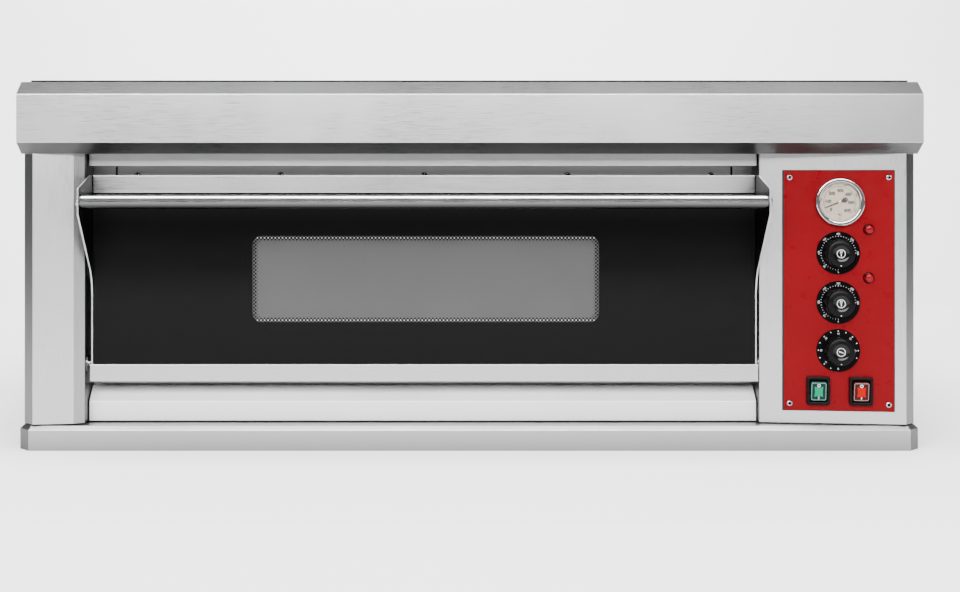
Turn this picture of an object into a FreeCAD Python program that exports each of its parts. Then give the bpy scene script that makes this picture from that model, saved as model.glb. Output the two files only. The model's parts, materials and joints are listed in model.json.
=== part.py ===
"""Single-deck electric bakery oven, modelled as separate pieces.

Units are millimetres. X runs across the front (to the right), Y runs from the front to the
back, Z is up. The origin is on the floor plane, at the middle of the oven's outer box.
Depths are measured backwards from the front face of the hood, so Y = front + depth.
"""
import FreeCAD, Part
import math
import os
import re
import Sketcher

os.makedirs("parts", exist_ok=True)

DRIVING = {
    # Overall box
    "front": -387, "casing_width": 1210, "casing_height": 497.5, "casing_depth": 790,
    "plinth_width": 1220, "plinth_depth": 19.5, "plinth_rise": 33, "plinth_bevel": 5,
    "plinth_corner": 16, "plinth_wall": 6.5, "plinth_lip": 30,
    "sheet_wall": 1.5, "cover_overhang": 11, "side_flange": 25, "cover_thick": 2.5,
    # Hood across the top of the front
    "hood_low": 400.5, "hood_face_low": 415, "hood_face_high": 479.8, "hood_set": 22.5,
    "hood_depth": 38,
    # Front opening between the two columns
    "opening_left": -522, "opening_right": 395.8, "corner_cut": 15.5,
    "left_bend_x": -536, "left_bend_depth": 29, "left_edge_depth": 36, "column_tilt": 6,
    "lintel_depth": 51, "lintel_low": 384, "lintel_high": 430,
    "fascia_depth": 54, "fascia_top": 61.4, "sill_depth": 75, "sill_height": 80.4,
    "strip_seam": 1.5, "skirt_seam": 2,
    # Baking chamber
    "centre": -61.3, "mouth_half": 429, "mouth_low": 126, "mouth_high": 343,
    "frame_depth": 86, "chamber_back": 740, "hearth_low": 143, "hearth_thick": 15,
    "hearth_half": 418, "hearth_front": 92, "hearth_back": 716, "support_width": 20,
    "header_screw_height": 371, "header_screw_pitch": 200, "screw_radius": 5,
    "relief_width": 2.8, "relief_low": 352, "relief_high": 384,
    # Heating elements
    "rod_radius": 4, "bend_radius": 32, "element_pitch": 138, "element_front": 130,
    "element_back": 778, "upper_rod_height": 327, "lower_rod_height": 134, "hanger_width": 5,
    # Insulation and the electrical compartment
    "wool_gap": 2, "wool_top": 468, "wool_left": -600, "wool_right": 396, "wool_back": 766,
    "lamp_depth": 600, "lamp_height": 272, "lamp_radius": 30, "probe_radius": 3, "probe_length": 120,
    # Door
    "plate_thick": 2, "door_half": 454.8, "glass_depth": 48, "glass_thick": 6, "glass_low": 95,
    "glass_high": 366, "rail_depth": 43, "rail_low": 90, "rail_high": 113.5, "rail_half": 455.8,
    "flange_depth": 46, "flange_low": 350.3, "flange_high": 371.4, "flange_play": 0.8, "door_back": 80,
    "nose_depth": -32, "nose_low": 320, "nose_high": 353.5, "lip_low": 347.8,
    "inner_low": 118, "inner_high": 362, "pane_half": 250, "pane_low": 168, "pane_high": 292,
    "pane_lap": 10, "pane_depth": 70.5, "pane_thick": 4, "gasket_width": 10, "door_clear": 0.4,
    "pivot_depth": 56, "pivot_height": 114, "pin_radius": 4, "pin_clear": 0.05,
    "bush_radius": 7, "bush_flange": 11, "bush_collar": 0.8, "bush_reach": 14,
    "bar_depth": -22, "bar_height": 336.2, "bar_radius": 9.2, "bar_gap": 1.2, "bolt_radius": 5,
    "cap_radius": 6.5, "cap_proud": 3.5,
    # Control panel
    "panel_width": 145.5, "panel_high": 325, "panel_thick": 2, "panel_x": 501, "panel_z": 215.2,
    "panel_screw_u": 65.5, "panel_screw_v": 153.5, "panel_screw_radius": 4.5,
    "gauge_u": 1, "gauge_v": 120, "gauge_radius": 32.5, "gauge_can_radius": 28,
    "gauge_proud": 7, "gauge_can_deep": 26, "gauge_wall": 1.5, "needle_long": 21,
    "needle_rest": 202, "dial_u": -1, "upper_dial_v": 51, "lower_dial_v": -16, "timer_v": -81,
    "dial_radius": 29, "dial_thick": 1, "knob_radius": 20, "knob_proud": 21, "spindle_radius": 3,
    "bushing_radius": 5, "bushing_deep": 14, "control_box": 42, "control_box_deep": 34,
    "pilot_u": 39, "upper_pilot_v": 83, "lower_pilot_v": 17.5, "pilot_radius": 7.5,
    "pilot_dome": 5.8, "pilot_ring": 3, "pilot_barrel": 5.5, "pilot_deep": 26,
    "green_u": -27.7, "red_u": 28.6, "switch_v": -135.7, "switch_wide": 31, "switch_tall": 38,
    "switch_rim": 4, "switch_proud": 5, "switch_deep": 24, "rocker_gap": 0.5,
    "rocker_pivot": 3, "rocker_tilt": 9, "rocker_pin": 1.5, "rocker_pin_reach": 1.2,
    # Back of the oven
    "flue_x": -250, "flue_z": 430, "flue_radius": 30, "flue_length": 35, "flue_wall": 1.2,
    "gland_x": 500, "gland_z": 70, "gland_radius": 13, "gland_bore": 7, "gland_proud": 18,
    "contactor_depth": 420, "contactor_low": 160, "terminal_depth": 640, "terminal_low": 120,
    "slot_long": 130, "slot_tall": 5, "slot_low": 240, "slot_pitch": 14,
}
FOLD_RADIUS = 1.2
SHEET_WORD = re.compile(r"[a-z]+(?:_[a-z]+)*")

doc = FreeCAD.newDocument("DeckOven")
dims = doc.addObject("Spreadsheet::Sheet", "Dims")
for row, (alias, number) in enumerate(DRIVING.items(), start=1):
    dims.set(f"A{row}", alias)
    dims.set(f"B{row}", str(number))
    dims.setAlias(f"B{row}", alias)
doc.recompute()

nodes = []


# ---------------------------------------------------------------- helpers
def cell(alias):
    """The number in the sheet's cell of that name."""
    return float(getattr(dims, alias))


def bind(item, prop, text):
    """Bind a property to an expression written with the sheet's plain aliases."""

    def full_name(match):
        word = match.group()
        return f"Dims.{word}" if word in DRIVING else word

    item.setExpression(prop, SHEET_WORD.sub(full_name, text))


def node(item, label):
    """Give a finished sub-part its own name and remember it for export."""
    item.Label = label
    nodes.append(item)
    return item


def box(name, corner, size):
    """A box from its lowest corner and its size, all as expressions."""
    item = doc.addObject("Part::Box", name)
    for prop, text in zip(("Length", "Width", "Height"), size):
        bind(item, prop, text)
    for axis, text in zip("xyz", corner):
        bind(item, f".Placement.Base.{axis}", text)
    return item


def cylinder(name, radius, length, place):
    """A cylinder along the local Z of a placement."""
    item = doc.addObject("Part::Cylinder", name)
    bind(item, "Radius", radius)
    bind(item, "Height", length)
    item.Placement = place
    return item


def local_box(name, frame, corner, size):
    """A box set in a tilted frame, from numbers read from the sheet."""
    item = doc.addObject("Part::Box", name)
    item.Length, item.Width, item.Height = size
    item.Placement = frame.multiply(FreeCAD.Placement(FreeCAD.Vector(*corner), FreeCAD.Rotation()))
    return item


def fuse(name, *shapes):
    item = doc.addObject("Part::MultiFuse", name)
    item.Shapes = list(shapes)
    return item


def cut(name, base, *tools):
    item = doc.addObject("Part::Cut", name)
    item.Base = base
    item.Tool = tools[0] if len(tools) == 1 else fuse(f"{name}_tools", *tools)
    return item


def group(name, *shapes):
    """Several loose solids that share one node."""
    item = doc.addObject("Part::Compound", name)
    item.Links = list(shapes)
    return item


def origin_plane(body, role):
    return next(item for item in body.Origin.OriginFeatures if item.Role == role)


def outline(body, name, plane, corners, start="0"):
    """A closed polygon in a sketch; each corner is bound to a pair of expressions."""
    sketch = body.newObject("Sketcher::SketchObject", name)
    sketch.AttachmentSupport = (origin_plane(body, plane), "")
    sketch.MapMode = "FlatFace"
    bind(sketch, ".AttachmentOffset.Base.z", start)
    count = len(corners)
    ring = []
    for step in range(count):
        angle = 2 * math.pi * step / count
        ring.append(FreeCAD.Vector(100 * math.cos(angle), 100 * math.sin(angle), 0))
    for step in range(count):
        sketch.addGeometry(Part.LineSegment(ring[step], ring[(step + 1) % count]))
    for step in range(count):
        sketch.addConstraint(Sketcher.Constraint("Coincident", step, 2, (step + 1) % count, 1))
    for step, (across, up) in enumerate(corners):
        flat = sketch.addConstraint(Sketcher.Constraint("DistanceX", -1, 1, step, 1, ring[step].x))
        bind(sketch, f"Constraints[{flat}]", across)
        tall = sketch.addConstraint(Sketcher.Constraint("DistanceY", -1, 1, step, 1, ring[step].y))
        bind(sketch, f"Constraints[{tall}]", up)
    return sketch


def padded(name, plane, corners, start, length):
    """A body made by padding one outline; depths are measured from the hood's face."""
    body = doc.addObject("PartDesign::Body", name)
    bind(body, ".Placement.Base.y", "front")
    pad = body.newObject("PartDesign::Pad", f"{name}_pad")
    pad.Profile = outline(body, f"{name}_outline", plane, corners, start)
    bind(pad, "Length", length)
    body.Tip = pad
    return body


def rounded(name, base, radius, chosen):
    """Fillet the edges that a test picks; the base must be computed first."""
    doc.recompute()
    item = doc.addObject("Part::Fillet", name)
    item.Base = base
    picked = [index for index, edge in enumerate(base.Shape.Edges, start=1) if chosen(edge)]
    item.Edges = [(index, radius, radius) for index in picked]
    return item


def along_x(edge):
    box_of = edge.BoundBox
    return box_of.YLength < 0.01 and box_of.ZLength < 0.01


def upright(edge):
    box_of = edge.BoundBox
    return box_of.XLength < 0.01 and box_of.YLength < 0.01


def fold_through(along, *spots):
    """A test for the straight edges that run one way and pass through spots across that way."""

    def chosen(edge):
        middle = edge.BoundBox.Center
        place = (middle.y, middle.z) if along is along_x else (middle.x, middle.y)
        return along(edge) and any(math.dist(place, spot) < 0.2 for spot in spots)

    return chosen


def facing(axis, x, y, z):
    """A placement at a point whose local Z looks along a world axis."""
    turn = FreeCAD.Rotation(FreeCAD.Vector(0, 0, 1), FreeCAD.Vector(*axis))
    return FreeCAD.Placement(FreeCAD.Vector(x, y, z), turn)


# ---------------------------------------------------------------- outer casing
def make_plinth():
    """Folded base frame: bevelled skin, lips top and bottom, and a floor pan welded in."""
    half, back = "plinth_width / 2", "casing_depth"
    skin = padded("plinth_skin", "XY_Plane", [
        (f"-{half}", back), (f"-{half}", "plinth_depth + plinth_corner"),
        (f"-{half} + plinth_corner", "plinth_depth"), (f"{half} - plinth_corner", "plinth_depth"),
        (half, "plinth_depth + plinth_corner"), (half, back)], "0", "plinth_rise")
    doc.recompute()
    front_y = cell("front") + cell("plinth_depth")
    side_x = cell("plinth_width") / 2
    corner = cell("plinth_corner")

    def top_front_edge(edge):
        middle = edge.BoundBox.Center
        at_top = edge.BoundBox.ZLength < 0.01 and middle.z > cell("plinth_rise") - 0.01
        return at_top and (middle.y < front_y + corner or abs(middle.x) > side_x - 0.01)

    bevel = doc.addObject("Part::Chamfer", "plinth_bevelled")
    bevel.Base = skin
    size = cell("plinth_bevel")
    edges = enumerate(skin.Shape.Edges, start=1)
    bevel.Edges = [(index, size, size) for index, edge in edges if top_front_edge(edge)]
    inner = f"({half} - plinth_wall)"
    hollow = padded("plinth_hollow", "XY_Plane", [
        (f"-{inner}", f"{back} - plinth_wall"), (f"-{inner}", "plinth_depth + plinth_corner + 2"),
        (f"-{inner} + plinth_corner", "plinth_depth + plinth_wall"),
        (f"{inner} - plinth_corner", "plinth_depth + plinth_wall"),
        (inner, "plinth_depth + plinth_corner + 2"), (inner, f"{back} - plinth_wall")],
        "sheet_wall", "plinth_rise - 2 * sheet_wall")
    window = box("plinth_window",
                 ("-plinth_width / 2 + plinth_corner + plinth_lip",
                  "front + plinth_depth + plinth_lip", "-1"),
                 ("plinth_width - 2 * plinth_corner - 2 * plinth_lip",
                  "casing_depth - plinth_depth - 2 * plinth_lip", "sheet_wall + 2"))
    return node(cut("plinth_cut", bevel, hollow, window), "plinth_frame")


def make_side_panels():
    """Flat casing sides with an inward flange along the top."""
    low, start = "plinth_rise", "front + hood_depth"
    top = "casing_height - sheet_wall"
    size = ("sheet_wall", "casing_depth - hood_depth", "casing_height - plinth_rise")
    flange = ("side_flange", "casing_depth - hood_depth", "sheet_wall")
    left = fuse("left_side",
                box("left_skin", ("-casing_width / 2", start, low), size),
                box("left_flange", ("-casing_width / 2", start, top), flange))
    right = fuse("right_side",
                 box("right_skin", ("casing_width / 2 - sheet_wall", start, low), size),
                 box("right_flange", ("casing_width / 2 - side_flange", start, top), flange))
    node(left, "left_side_panel")
    node(right, "right_side_panel")


def make_rear_panel():
    """Back sheet with its flue and cable openings and a field of cooling slots."""
    panel = box("rear_sheet",
                ("-casing_width / 2 + sheet_wall", "front + casing_depth - sheet_wall", "plinth_rise"),
                ("casing_width - 2 * sheet_wall", "sheet_wall", "casing_height - plinth_rise - sheet_wall"))
    back = cell("front") + cell("casing_depth") - 10
    flue = cylinder("flue_hole", "flue_radius", "20", facing((0, 1, 0), cell("flue_x"), back, cell("flue_z")))
    gland = cylinder("gland_hole", "gland_radius - 3", "20",
                     facing((0, 1, 0), cell("gland_x"), back, cell("gland_z")))
    slots = []
    for step in range(9):
        corner = ("gland_x - slot_long / 2", "front + casing_depth - 10", f"slot_low + slot_pitch * {step}")
        slots.append(box(f"vent_slot_{step}", corner, ("slot_long", "20", "slot_tall")))
    node(cut("rear_cut", panel, flue, gland, group("vent_slots", *slots)), "rear_panel")


def make_top_cover():
    """Raised lid sheet laid on the casing flanges."""
    lid = box("top_sheet",
              ("-casing_width / 2 + cover_overhang", "front + hood_set + 6", "casing_height"),
              ("casing_width - 2 * cover_overhang", "casing_depth - hood_set - 12", "cover_thick"))
    node(rounded("top_rounded", lid, 2, upright), "top_cover")


def make_hood():
    """Folded front hood: bevels above and below a plain face, with closed ends."""
    shell = padded("hood_shell", "YZ_Plane", [
        ("hood_depth", "hood_low"), ("hood_set", "hood_low"), ("0", "hood_face_low"), ("0", "hood_face_high"),
        ("hood_set", "casing_height"), ("hood_depth", "casing_height")], "-casing_width / 2", "casing_width")
    inside = padded("hood_inside", "YZ_Plane", [
        ("hood_depth + 5", "hood_low + sheet_wall"), ("hood_set + 0.5", "hood_low + sheet_wall"),
        ("sheet_wall", "hood_face_low + 0.8"), ("sheet_wall", "hood_face_high - 0.8"),
        ("hood_set + 0.5", "casing_height - sheet_wall"), ("hood_depth + 5", "casing_height - sheet_wall")],
        "-casing_width / 2 + sheet_wall", "casing_width - 2 * sheet_wall")
    hollow = cut("hood_hollow", shell, inside)
    face_y = cell("front")

    def front_fold(edge):
        middle = edge.BoundBox.Center
        long_enough = along_x(edge) and edge.Length > 1000
        return long_enough and (middle.y < face_y + 0.1 or abs(middle.y - face_y - cell("hood_set")) < 0.1)

    node(rounded("hood_rounded", hollow, FOLD_RADIUS, front_fold), "front_hood")


def make_columns():
    """Canted front columns; the door jambs are their inward returns."""
    left_out, left_in, wall = "-casing_width / 2", "opening_left", "sheet_wall"
    left = padded("left_column", "XY_Plane", [
        (left_out, "hood_depth"), (f"{left_out} + corner_cut", "hood_set"),
        ("left_bend_x", "left_bend_depth"), (left_in, "left_edge_depth"), (left_in, "frame_depth"),
        (f"{left_in} - {wall}", "frame_depth"),
        (f"{left_in} - {wall}", "left_edge_depth + 1"), ("left_bend_x - 0.3", f"left_bend_depth + {wall}"),
        (f"{left_out} + corner_cut + 0.5", f"hood_set + {wall}"),
        (f"{left_out} + {wall} * 1.4", "hood_depth")],
        "plinth_rise + skirt_seam", "hood_low - plinth_rise - skirt_seam")
    slope = "(casing_width / 2 - corner_cut - opening_right) * tan(column_tilt * 1 deg)"
    edge_depth = f"hood_set + {slope}"
    right_out, right_in = "casing_width / 2", "opening_right"
    right = padded("right_column", "XY_Plane", [
        (right_out, "hood_depth"), (f"{right_out} - corner_cut", "hood_set"), (right_in, edge_depth),
        (right_in, "frame_depth"), (f"{right_in} + {wall}", "frame_depth"),
        (f"{right_in} + {wall}", f"{edge_depth} + {wall} - 0.16"),
        (f"{right_out} - corner_cut - 0.5", f"hood_set + {wall} + 0.05"),
        (f"{right_out} - {wall} * 1.4", "hood_depth")],
        "plinth_rise + skirt_seam", "hood_low - plinth_rise - skirt_seam")
    pivot_y = cell("front") + cell("pivot_depth")
    holes = []
    for name, x in (("left", cell("opening_left")), ("right", cell("opening_right"))):
        holes.append(cylinder(f"{name}_bush_hole", "bush_radius", "20",
                              facing((1, 0, 0), x - 10, pivot_y, cell("pivot_height"))))
    left_cut = cut("left_column_cut", left, holes[0])
    right_cut = cut("right_column_cut", right, holes[1], *panel_openings("column", -10, 20))
    corner_x = cell("casing_width") / 2 - cell("corner_cut")
    corner_y = cell("front") + cell("hood_set")
    left_bend = (cell("left_bend_x"), cell("front") + cell("left_bend_depth"))
    right_edge_y = corner_y + (corner_x - cell("opening_right")) * math.tan(math.radians(cell("column_tilt")))
    left_edge = (cell("opening_left"), cell("front") + cell("left_edge_depth"))
    left_folds = fold_through(upright, (-corner_x, corner_y), left_bend, left_edge)
    right_folds = fold_through(upright, (corner_x, corner_y), (cell("opening_right"), right_edge_y))
    node(rounded("left_column_rounded", left_cut, FOLD_RADIUS, left_folds), "left_column_cover")
    node(rounded("right_column_rounded", right_cut, FOLD_RADIUS, right_folds), "right_column_cover")


def make_front_strips():
    """Lintel above the door, and the fascia and sloping sill below it."""
    start = "opening_left + strip_seam"
    wide = "opening_right - opening_left - 2 * strip_seam"
    low = "plinth_rise + skirt_seam"
    lintel = padded("lintel", "YZ_Plane", [
        ("lintel_depth", "lintel_low"), ("frame_depth", "lintel_low"),
        ("frame_depth", "lintel_low + sheet_wall"), ("lintel_depth + sheet_wall", "lintel_low + sheet_wall"),
        ("lintel_depth + sheet_wall", "lintel_high"),
        ("lintel_depth", "lintel_high")], start, wide)
    front_y = cell("front")
    lintel_fold = fold_through(along_x, (front_y + cell("lintel_depth"), cell("lintel_low")))
    node(rounded("lintel_rounded", lintel, FOLD_RADIUS, lintel_fold), "lintel_strip")
    fascia = padded("fascia", "YZ_Plane", [
        ("fascia_depth", low), ("fascia_depth", "fascia_top"), ("sill_depth", "sill_height"),
        ("frame_depth", "sill_height"), ("frame_depth", "sill_height - sheet_wall"),
        ("sill_depth + 0.6", "sill_height - sheet_wall"), ("fascia_depth + sheet_wall", "fascia_top - 0.7"),
        ("fascia_depth + sheet_wall", low)], start, wide)
    fascia_folds = fold_through(along_x, (front_y + cell("fascia_depth"), cell("fascia_top")),
                                (front_y + cell("sill_depth"), cell("sill_height")))
    node(rounded("fascia_rounded", fascia, FOLD_RADIUS, fascia_folds), "lower_fascia")


# ---------------------------------------------------------------- baking chamber
def make_chamber_frame():
    """Flat front frame around the chamber mouth, with header screws along its top."""
    y = "front + frame_depth"
    plate = box("frame_plate", ("opening_left", y, "plinth_rise + 40"),
                ("opening_right - opening_left", "sheet_wall", "lintel_high - plinth_rise - 40"))
    mouth = box("frame_mouth", ("centre - mouth_half", "front + frame_depth - 5", "mouth_low"),
                ("2 * mouth_half", "10", "mouth_high - mouth_low"))
    reliefs = []
    for name, side in (("left", "-"), ("right", "+")):
        corner = (f"centre {side} mouth_half - relief_width / 2", "front + frame_depth - 5", "relief_low")
        reliefs.append(box(f"{name}_relief", corner, ("relief_width", "10", "relief_high - relief_low")))
    node(cut("frame_cut", plate, mouth, *reliefs), "chamber_front_frame")
    screws = []
    for step in range(-2, 3):
        x = cell("centre") + step * cell("header_screw_pitch")
        place = facing((0, -1, 0), x, cell("front") + cell("frame_depth"), cell("header_screw_height"))
        screws.append(cylinder(f"header_screw_{step + 2}", "screw_radius", "2.6", place))
    heads = group("header_screw_group", *screws)
    node(rounded("header_screws_rounded", heads, 1.6, front_rim), "header_screws")


def front_rim(edge):
    """The outer circular rim of a screw head that looks forward."""
    is_circle = isinstance(edge.Curve, Part.Circle)
    return is_circle and edge.BoundBox.YMax < cell("front") + cell("frame_depth") - 1


def element_holes(name, height, start, length):
    """Cylinders where the legs of one row of elements pass through a wall."""
    tools = []
    for leg, x in enumerate(element_legs()):
        place = facing((0, 1, 0), x, cell("front") + start, height)
        tools.append(cylinder(f"{name}_{leg}", "rod_radius + 0.4", str(length), place))
    return group(name, *tools)


def element_legs():
    """X of both legs of every element in a row."""
    legs = []
    for step in range(6):
        middle = cell("centre") + (step - 2.5) * cell("element_pitch")
        legs += [middle - cell("bend_radius"), middle + cell("bend_radius")]
    return legs


def lamp_port(name, x, length, radius):
    place = facing((1, 0, 0), x, cell("front") + cell("lamp_depth"), cell("lamp_height"))
    return cylinder(name, radius, length, place)


def make_liner():
    """Welded chamber box, open at the front."""
    y = "front + frame_depth + sheet_wall"
    shell = box("liner_shell", ("centre - mouth_half - sheet_wall", y, "mouth_low - sheet_wall"),
                ("2 * mouth_half + 2 * sheet_wall", "chamber_back - frame_depth - sheet_wall",
                 "mouth_high - mouth_low + 2 * sheet_wall"))
    inside = box("liner_inside", ("centre - mouth_half", "front + frame_depth", "mouth_low"),
                 ("2 * mouth_half", "chamber_back - frame_depth - sheet_wall", "mouth_high - mouth_low"))
    upper = element_holes("liner_upper_holes", cell("upper_rod_height"), cell("chamber_back") - 10, 20)
    lower = element_holes("liner_lower_holes", cell("lower_rod_height"), cell("chamber_back") - 10, 20)
    port = lamp_port("liner_port", cell("centre") + cell("mouth_half") - 10, "30", "lamp_radius + 0.5")
    node(cut("liner_cut", shell, inside, upper, lower, port), "chamber_liner")


def make_hearth():
    """Baking stone on three loose support bars."""
    stone = box("hearth_stone", ("centre - hearth_half", "front + hearth_front", "hearth_low"),
                ("2 * hearth_half", "hearth_back - hearth_front", "hearth_thick"))
    node(rounded("hearth_rounded", stone, 3, upright), "hearth_plate")
    bars = []
    for step, place in enumerate(("centre - hearth_half + 2", "centre - support_width / 2",
                                  "centre + hearth_half - support_width - 2")):
        bars.append(box(f"hearth_bar_{step}", (place, "front + hearth_front + 4", "mouth_low"),
                        ("support_width", "hearth_back - hearth_front - 8", "hearth_low - mouth_low")))
    node(group("hearth_bars", *bars), "hearth_supports")


def make_elements(label, row_height):
    """A row of hairpin tubular elements with ceramic-ended legs through the back wall."""
    height = cell(row_height)
    bend_y = cell("front") + cell("element_front") + cell("bend_radius")
    pins = []
    legs = element_legs()
    for step in range(0, len(legs), 2):
        parts = []
        for side in (0, 1):
            place = facing((0, 1, 0), legs[step + side], bend_y, height)
            parts.append(cylinder(f"{label}_leg_{step + side}", "rod_radius",
                                  "element_back - element_front - bend_radius", place))
        bend = doc.addObject("Part::Torus", f"{label}_bend_{step}")
        bind(bend, "Radius1", "bend_radius")
        bind(bend, "Radius2", "rod_radius")
        bend.Angle3 = 180
        middle = (legs[step] + legs[step + 1]) / 2
        bend.Placement = FreeCAD.Placement(FreeCAD.Vector(middle, bend_y, height),
                                           FreeCAD.Rotation(FreeCAD.Vector(0, 0, 1), 180))
        pins.append(fuse(f"{label}_{step}", *parts, bend))
    node(group(f"{label}_row", *pins), label)


def make_hangers():
    """Two cross bars that carry the upper elements from the chamber ceiling."""
    bars = []
    for step, depth in enumerate(("element_front + 60", "chamber_back - 90")):
        corner = ("centre - mouth_half + 12", f"front + {depth}", "upper_rod_height + rod_radius")
        size = ("2 * mouth_half - 24", "hanger_width", "mouth_high - upper_rod_height - rod_radius")
        bars.append(box(f"hanger_{step}", corner, size))
    node(group("hanger_bars", *bars), "upper_element_hangers")


def make_insulation():
    """Mineral wool blocks around the chamber."""
    start = "front + frame_depth + 3"
    deep = "casing_depth - frame_depth - 12"
    left = "wool_left"
    wide = "wool_right - wool_left"
    top_low = "mouth_high + sheet_wall + wool_gap"
    top = box("wool_top_block", (left, start, top_low),
              (wide, deep, "wool_top - mouth_high - sheet_wall - wool_gap"))
    flue_y = cell("front") + cell("casing_depth") - 60
    flue = cylinder("wool_flue_hole", "flue_radius + 1", "90",
                    facing((0, 1, 0), cell("flue_x"), flue_y, cell("flue_z")))
    node(cut("wool_top_cut", top, flue), "insulation_top")
    floor_low = "plinth_rise + 3"
    bottom = box("wool_bottom_block", (left, start, floor_low),
                 (wide, deep, "mouth_low - sheet_wall - wool_gap - plinth_rise - 3"))
    node(bottom, "insulation_bottom")
    low = "mouth_low - sheet_wall"
    tall = "mouth_high - mouth_low + 2 * sheet_wall"
    chamber_deep = "wool_back - frame_depth - 3"
    left_wool = box("wool_left_block", (left, start, low),
                    ("centre - mouth_half - sheet_wall - wool_gap - wool_left", chamber_deep, tall))
    right_wool = box("wool_right_block", ("centre + mouth_half + sheet_wall + wool_gap", start, low),
                     ("wool_right - centre - mouth_half - sheet_wall - wool_gap", chamber_deep, tall))
    port = lamp_port("wool_port", cell("centre") + cell("mouth_half") - 10, "60", "lamp_radius + 1")
    node(group("wool_sides", left_wool, cut("wool_right_cut", right_wool, port)), "insulation_sides")
    rear = box("wool_rear_block",
               ("centre - mouth_half - sheet_wall", "front + chamber_back + wool_gap", low),
               ("2 * mouth_half + 2 * sheet_wall", "wool_back - chamber_back - wool_gap", tall))
    upper = element_holes("wool_upper_holes", cell("upper_rod_height"), cell("chamber_back"), 50)
    lower = element_holes("wool_lower_holes", cell("lower_rod_height"), cell("chamber_back"), 50)
    node(cut("wool_rear_cut", rear, upper, lower), "insulation_rear")


def make_compartment_wall():
    """Heat shield between the wool and the electrical compartment."""
    wall = box("shield", ("wool_right + 2", "front + frame_depth + 3", "plinth_rise + 3"),
               ("sheet_wall", "casing_depth - frame_depth - 12", "wool_top - plinth_rise - 3"))
    port = lamp_port("shield_port", cell("wool_right") - 10, "30", "lamp_radius + 1")
    node(cut("shield_cut", wall, port), "compartment_wall")


def make_lamp():
    """Chamber lamp: metal holder in the side wall, bulb, and glass cover on the chamber side."""
    wall_x = cell("centre") + cell("mouth_half")
    can = lamp_port("lamp_can", wall_x, "42", "lamp_radius")
    well = lamp_port("lamp_well", wall_x - 1, "39", "lamp_radius - 2")
    rim = lamp_port("lamp_rim", wall_x - 2, "2", "lamp_radius + 6")
    rim_hole = lamp_port("lamp_rim_hole", wall_x - 3, "5", "lamp_radius - 2")
    node(cut("lamp_holder_cut", fuse("lamp_holder_body", can, rim), well, rim_hole), "lamp_holder")
    globe = doc.addObject("Part::Sphere", "bulb_globe")
    globe.Radius = 14
    globe.Placement = facing((1, 0, 0), wall_x + 12, cell("front") + cell("lamp_depth"), cell("lamp_height"))
    stem = lamp_port("bulb_stem", wall_x + 20, "18", "8")
    node(fuse("bulb", globe, stem), "lamp_bulb")
    outer = lamp_port("cover_outer", wall_x - 12, "10", "lamp_radius + 2")
    inner = lamp_port("cover_inner", wall_x - 9, "8", "lamp_radius - 1")
    node(cut("cover_cut", outer, inner), "lamp_glass_cover")


def make_probes():
    """Capillary bulbs of the two thermostats and the thermometer, on the right chamber wall."""
    x = cell("centre") + cell("mouth_half") - cell("probe_radius") - 0.1
    probes = []
    for step, height in enumerate((313, 299, 172)):
        place = facing((0, 1, 0), x, cell("front") + 380, height)
        probes.append(cylinder(f"probe_{step}", "probe_radius", "probe_length", place))
    node(group("probe_group", *probes), "temperature_probes")


# ---------------------------------------------------------------- door
def make_door_glass():
    """Black outer glass, and the inner pane in the steel inner panel's window."""
    inside = "door_half - plate_thick"
    outer = box("outer_pane", (f"centre - ({inside})", "front + glass_depth", "glass_low"),
                (f"2 * ({inside})", "glass_thick", "glass_high - glass_low"))
    node(outer, "door_outer_glass")
    node(box("inner_pane", *pane_space()), "door_inner_glass")


def pane_space():
    """Corner and size of the inner pane, which is also its seat in the inner panel."""
    corner = ("centre - pane_half - pane_lap", "front + pane_depth", "pane_low - pane_lap")
    size = ("2 * (pane_half + pane_lap)", "pane_thick", "pane_high - pane_low + 2 * pane_lap")
    return corner, size


def make_inner_panel():
    """Steel pan behind the glass, with the window and a seat for the inner pane."""
    inside = "door_half - plate_thick"
    start = "front + glass_depth + glass_thick"
    pan = box("pan_block", (f"centre - ({inside})", start, "inner_low"),
              (f"2 * ({inside})", "door_back - glass_depth - glass_thick", "inner_high - inner_low"))
    hollow_tall = "pane_low - pane_lap - 8 - inner_low"
    window = box("pan_window", ("centre - pane_half", "front + glass_depth", "pane_low"),
                 ("2 * pane_half", "60", "pane_high - pane_low"))
    seat = box("pan_seat", *pane_space())
    relief = box("pan_relief", (f"centre - ({inside}) + 2", start, "inner_low + 2"),
                 (f"2 * ({inside}) - 4", "12", f"{hollow_tall} - 2"))
    node(rounded("pan_rounded", cut("pan_cut", pan, window, seat, relief), 1.5, back_rim), "door_inner_panel")


def back_rim(edge):
    """The outer rim of the inner panel's chamber side."""
    box_of = edge.BoundBox
    on_back = box_of.YMin > cell("front") + cell("door_back") - 0.1
    outside = box_of.ZLength > 200 or (box_of.XLength > 850)
    return on_back and outside


def make_gasket():
    """Rope seal around the chamber mouth, held on the back of the door."""
    thick = "frame_depth - door_back - door_clear"
    outer = box("gasket_outer",
                ("centre - mouth_half - gasket_width - 4", "front + door_back", "inner_low + 0.5"),
                ("2 * (mouth_half + gasket_width + 4)", thick, "inner_high - inner_low - 1"))
    hole = box("gasket_hole",
               ("centre - mouth_half - 4", "front + door_back - 1", "inner_low + 0.5 + gasket_width"),
               ("2 * (mouth_half + 4)", "20", "inner_high - inner_low - 1 - 2 * gasket_width"))
    ring = cut("gasket_ring", outer, hole)

    def seal_edge(edge):
        return edge.BoundBox.YMin > cell("front") + cell("frame_depth") - cell("door_clear") - 0.1

    node(rounded("gasket_rounded", ring, 2, seal_edge), "door_gasket")


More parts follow.
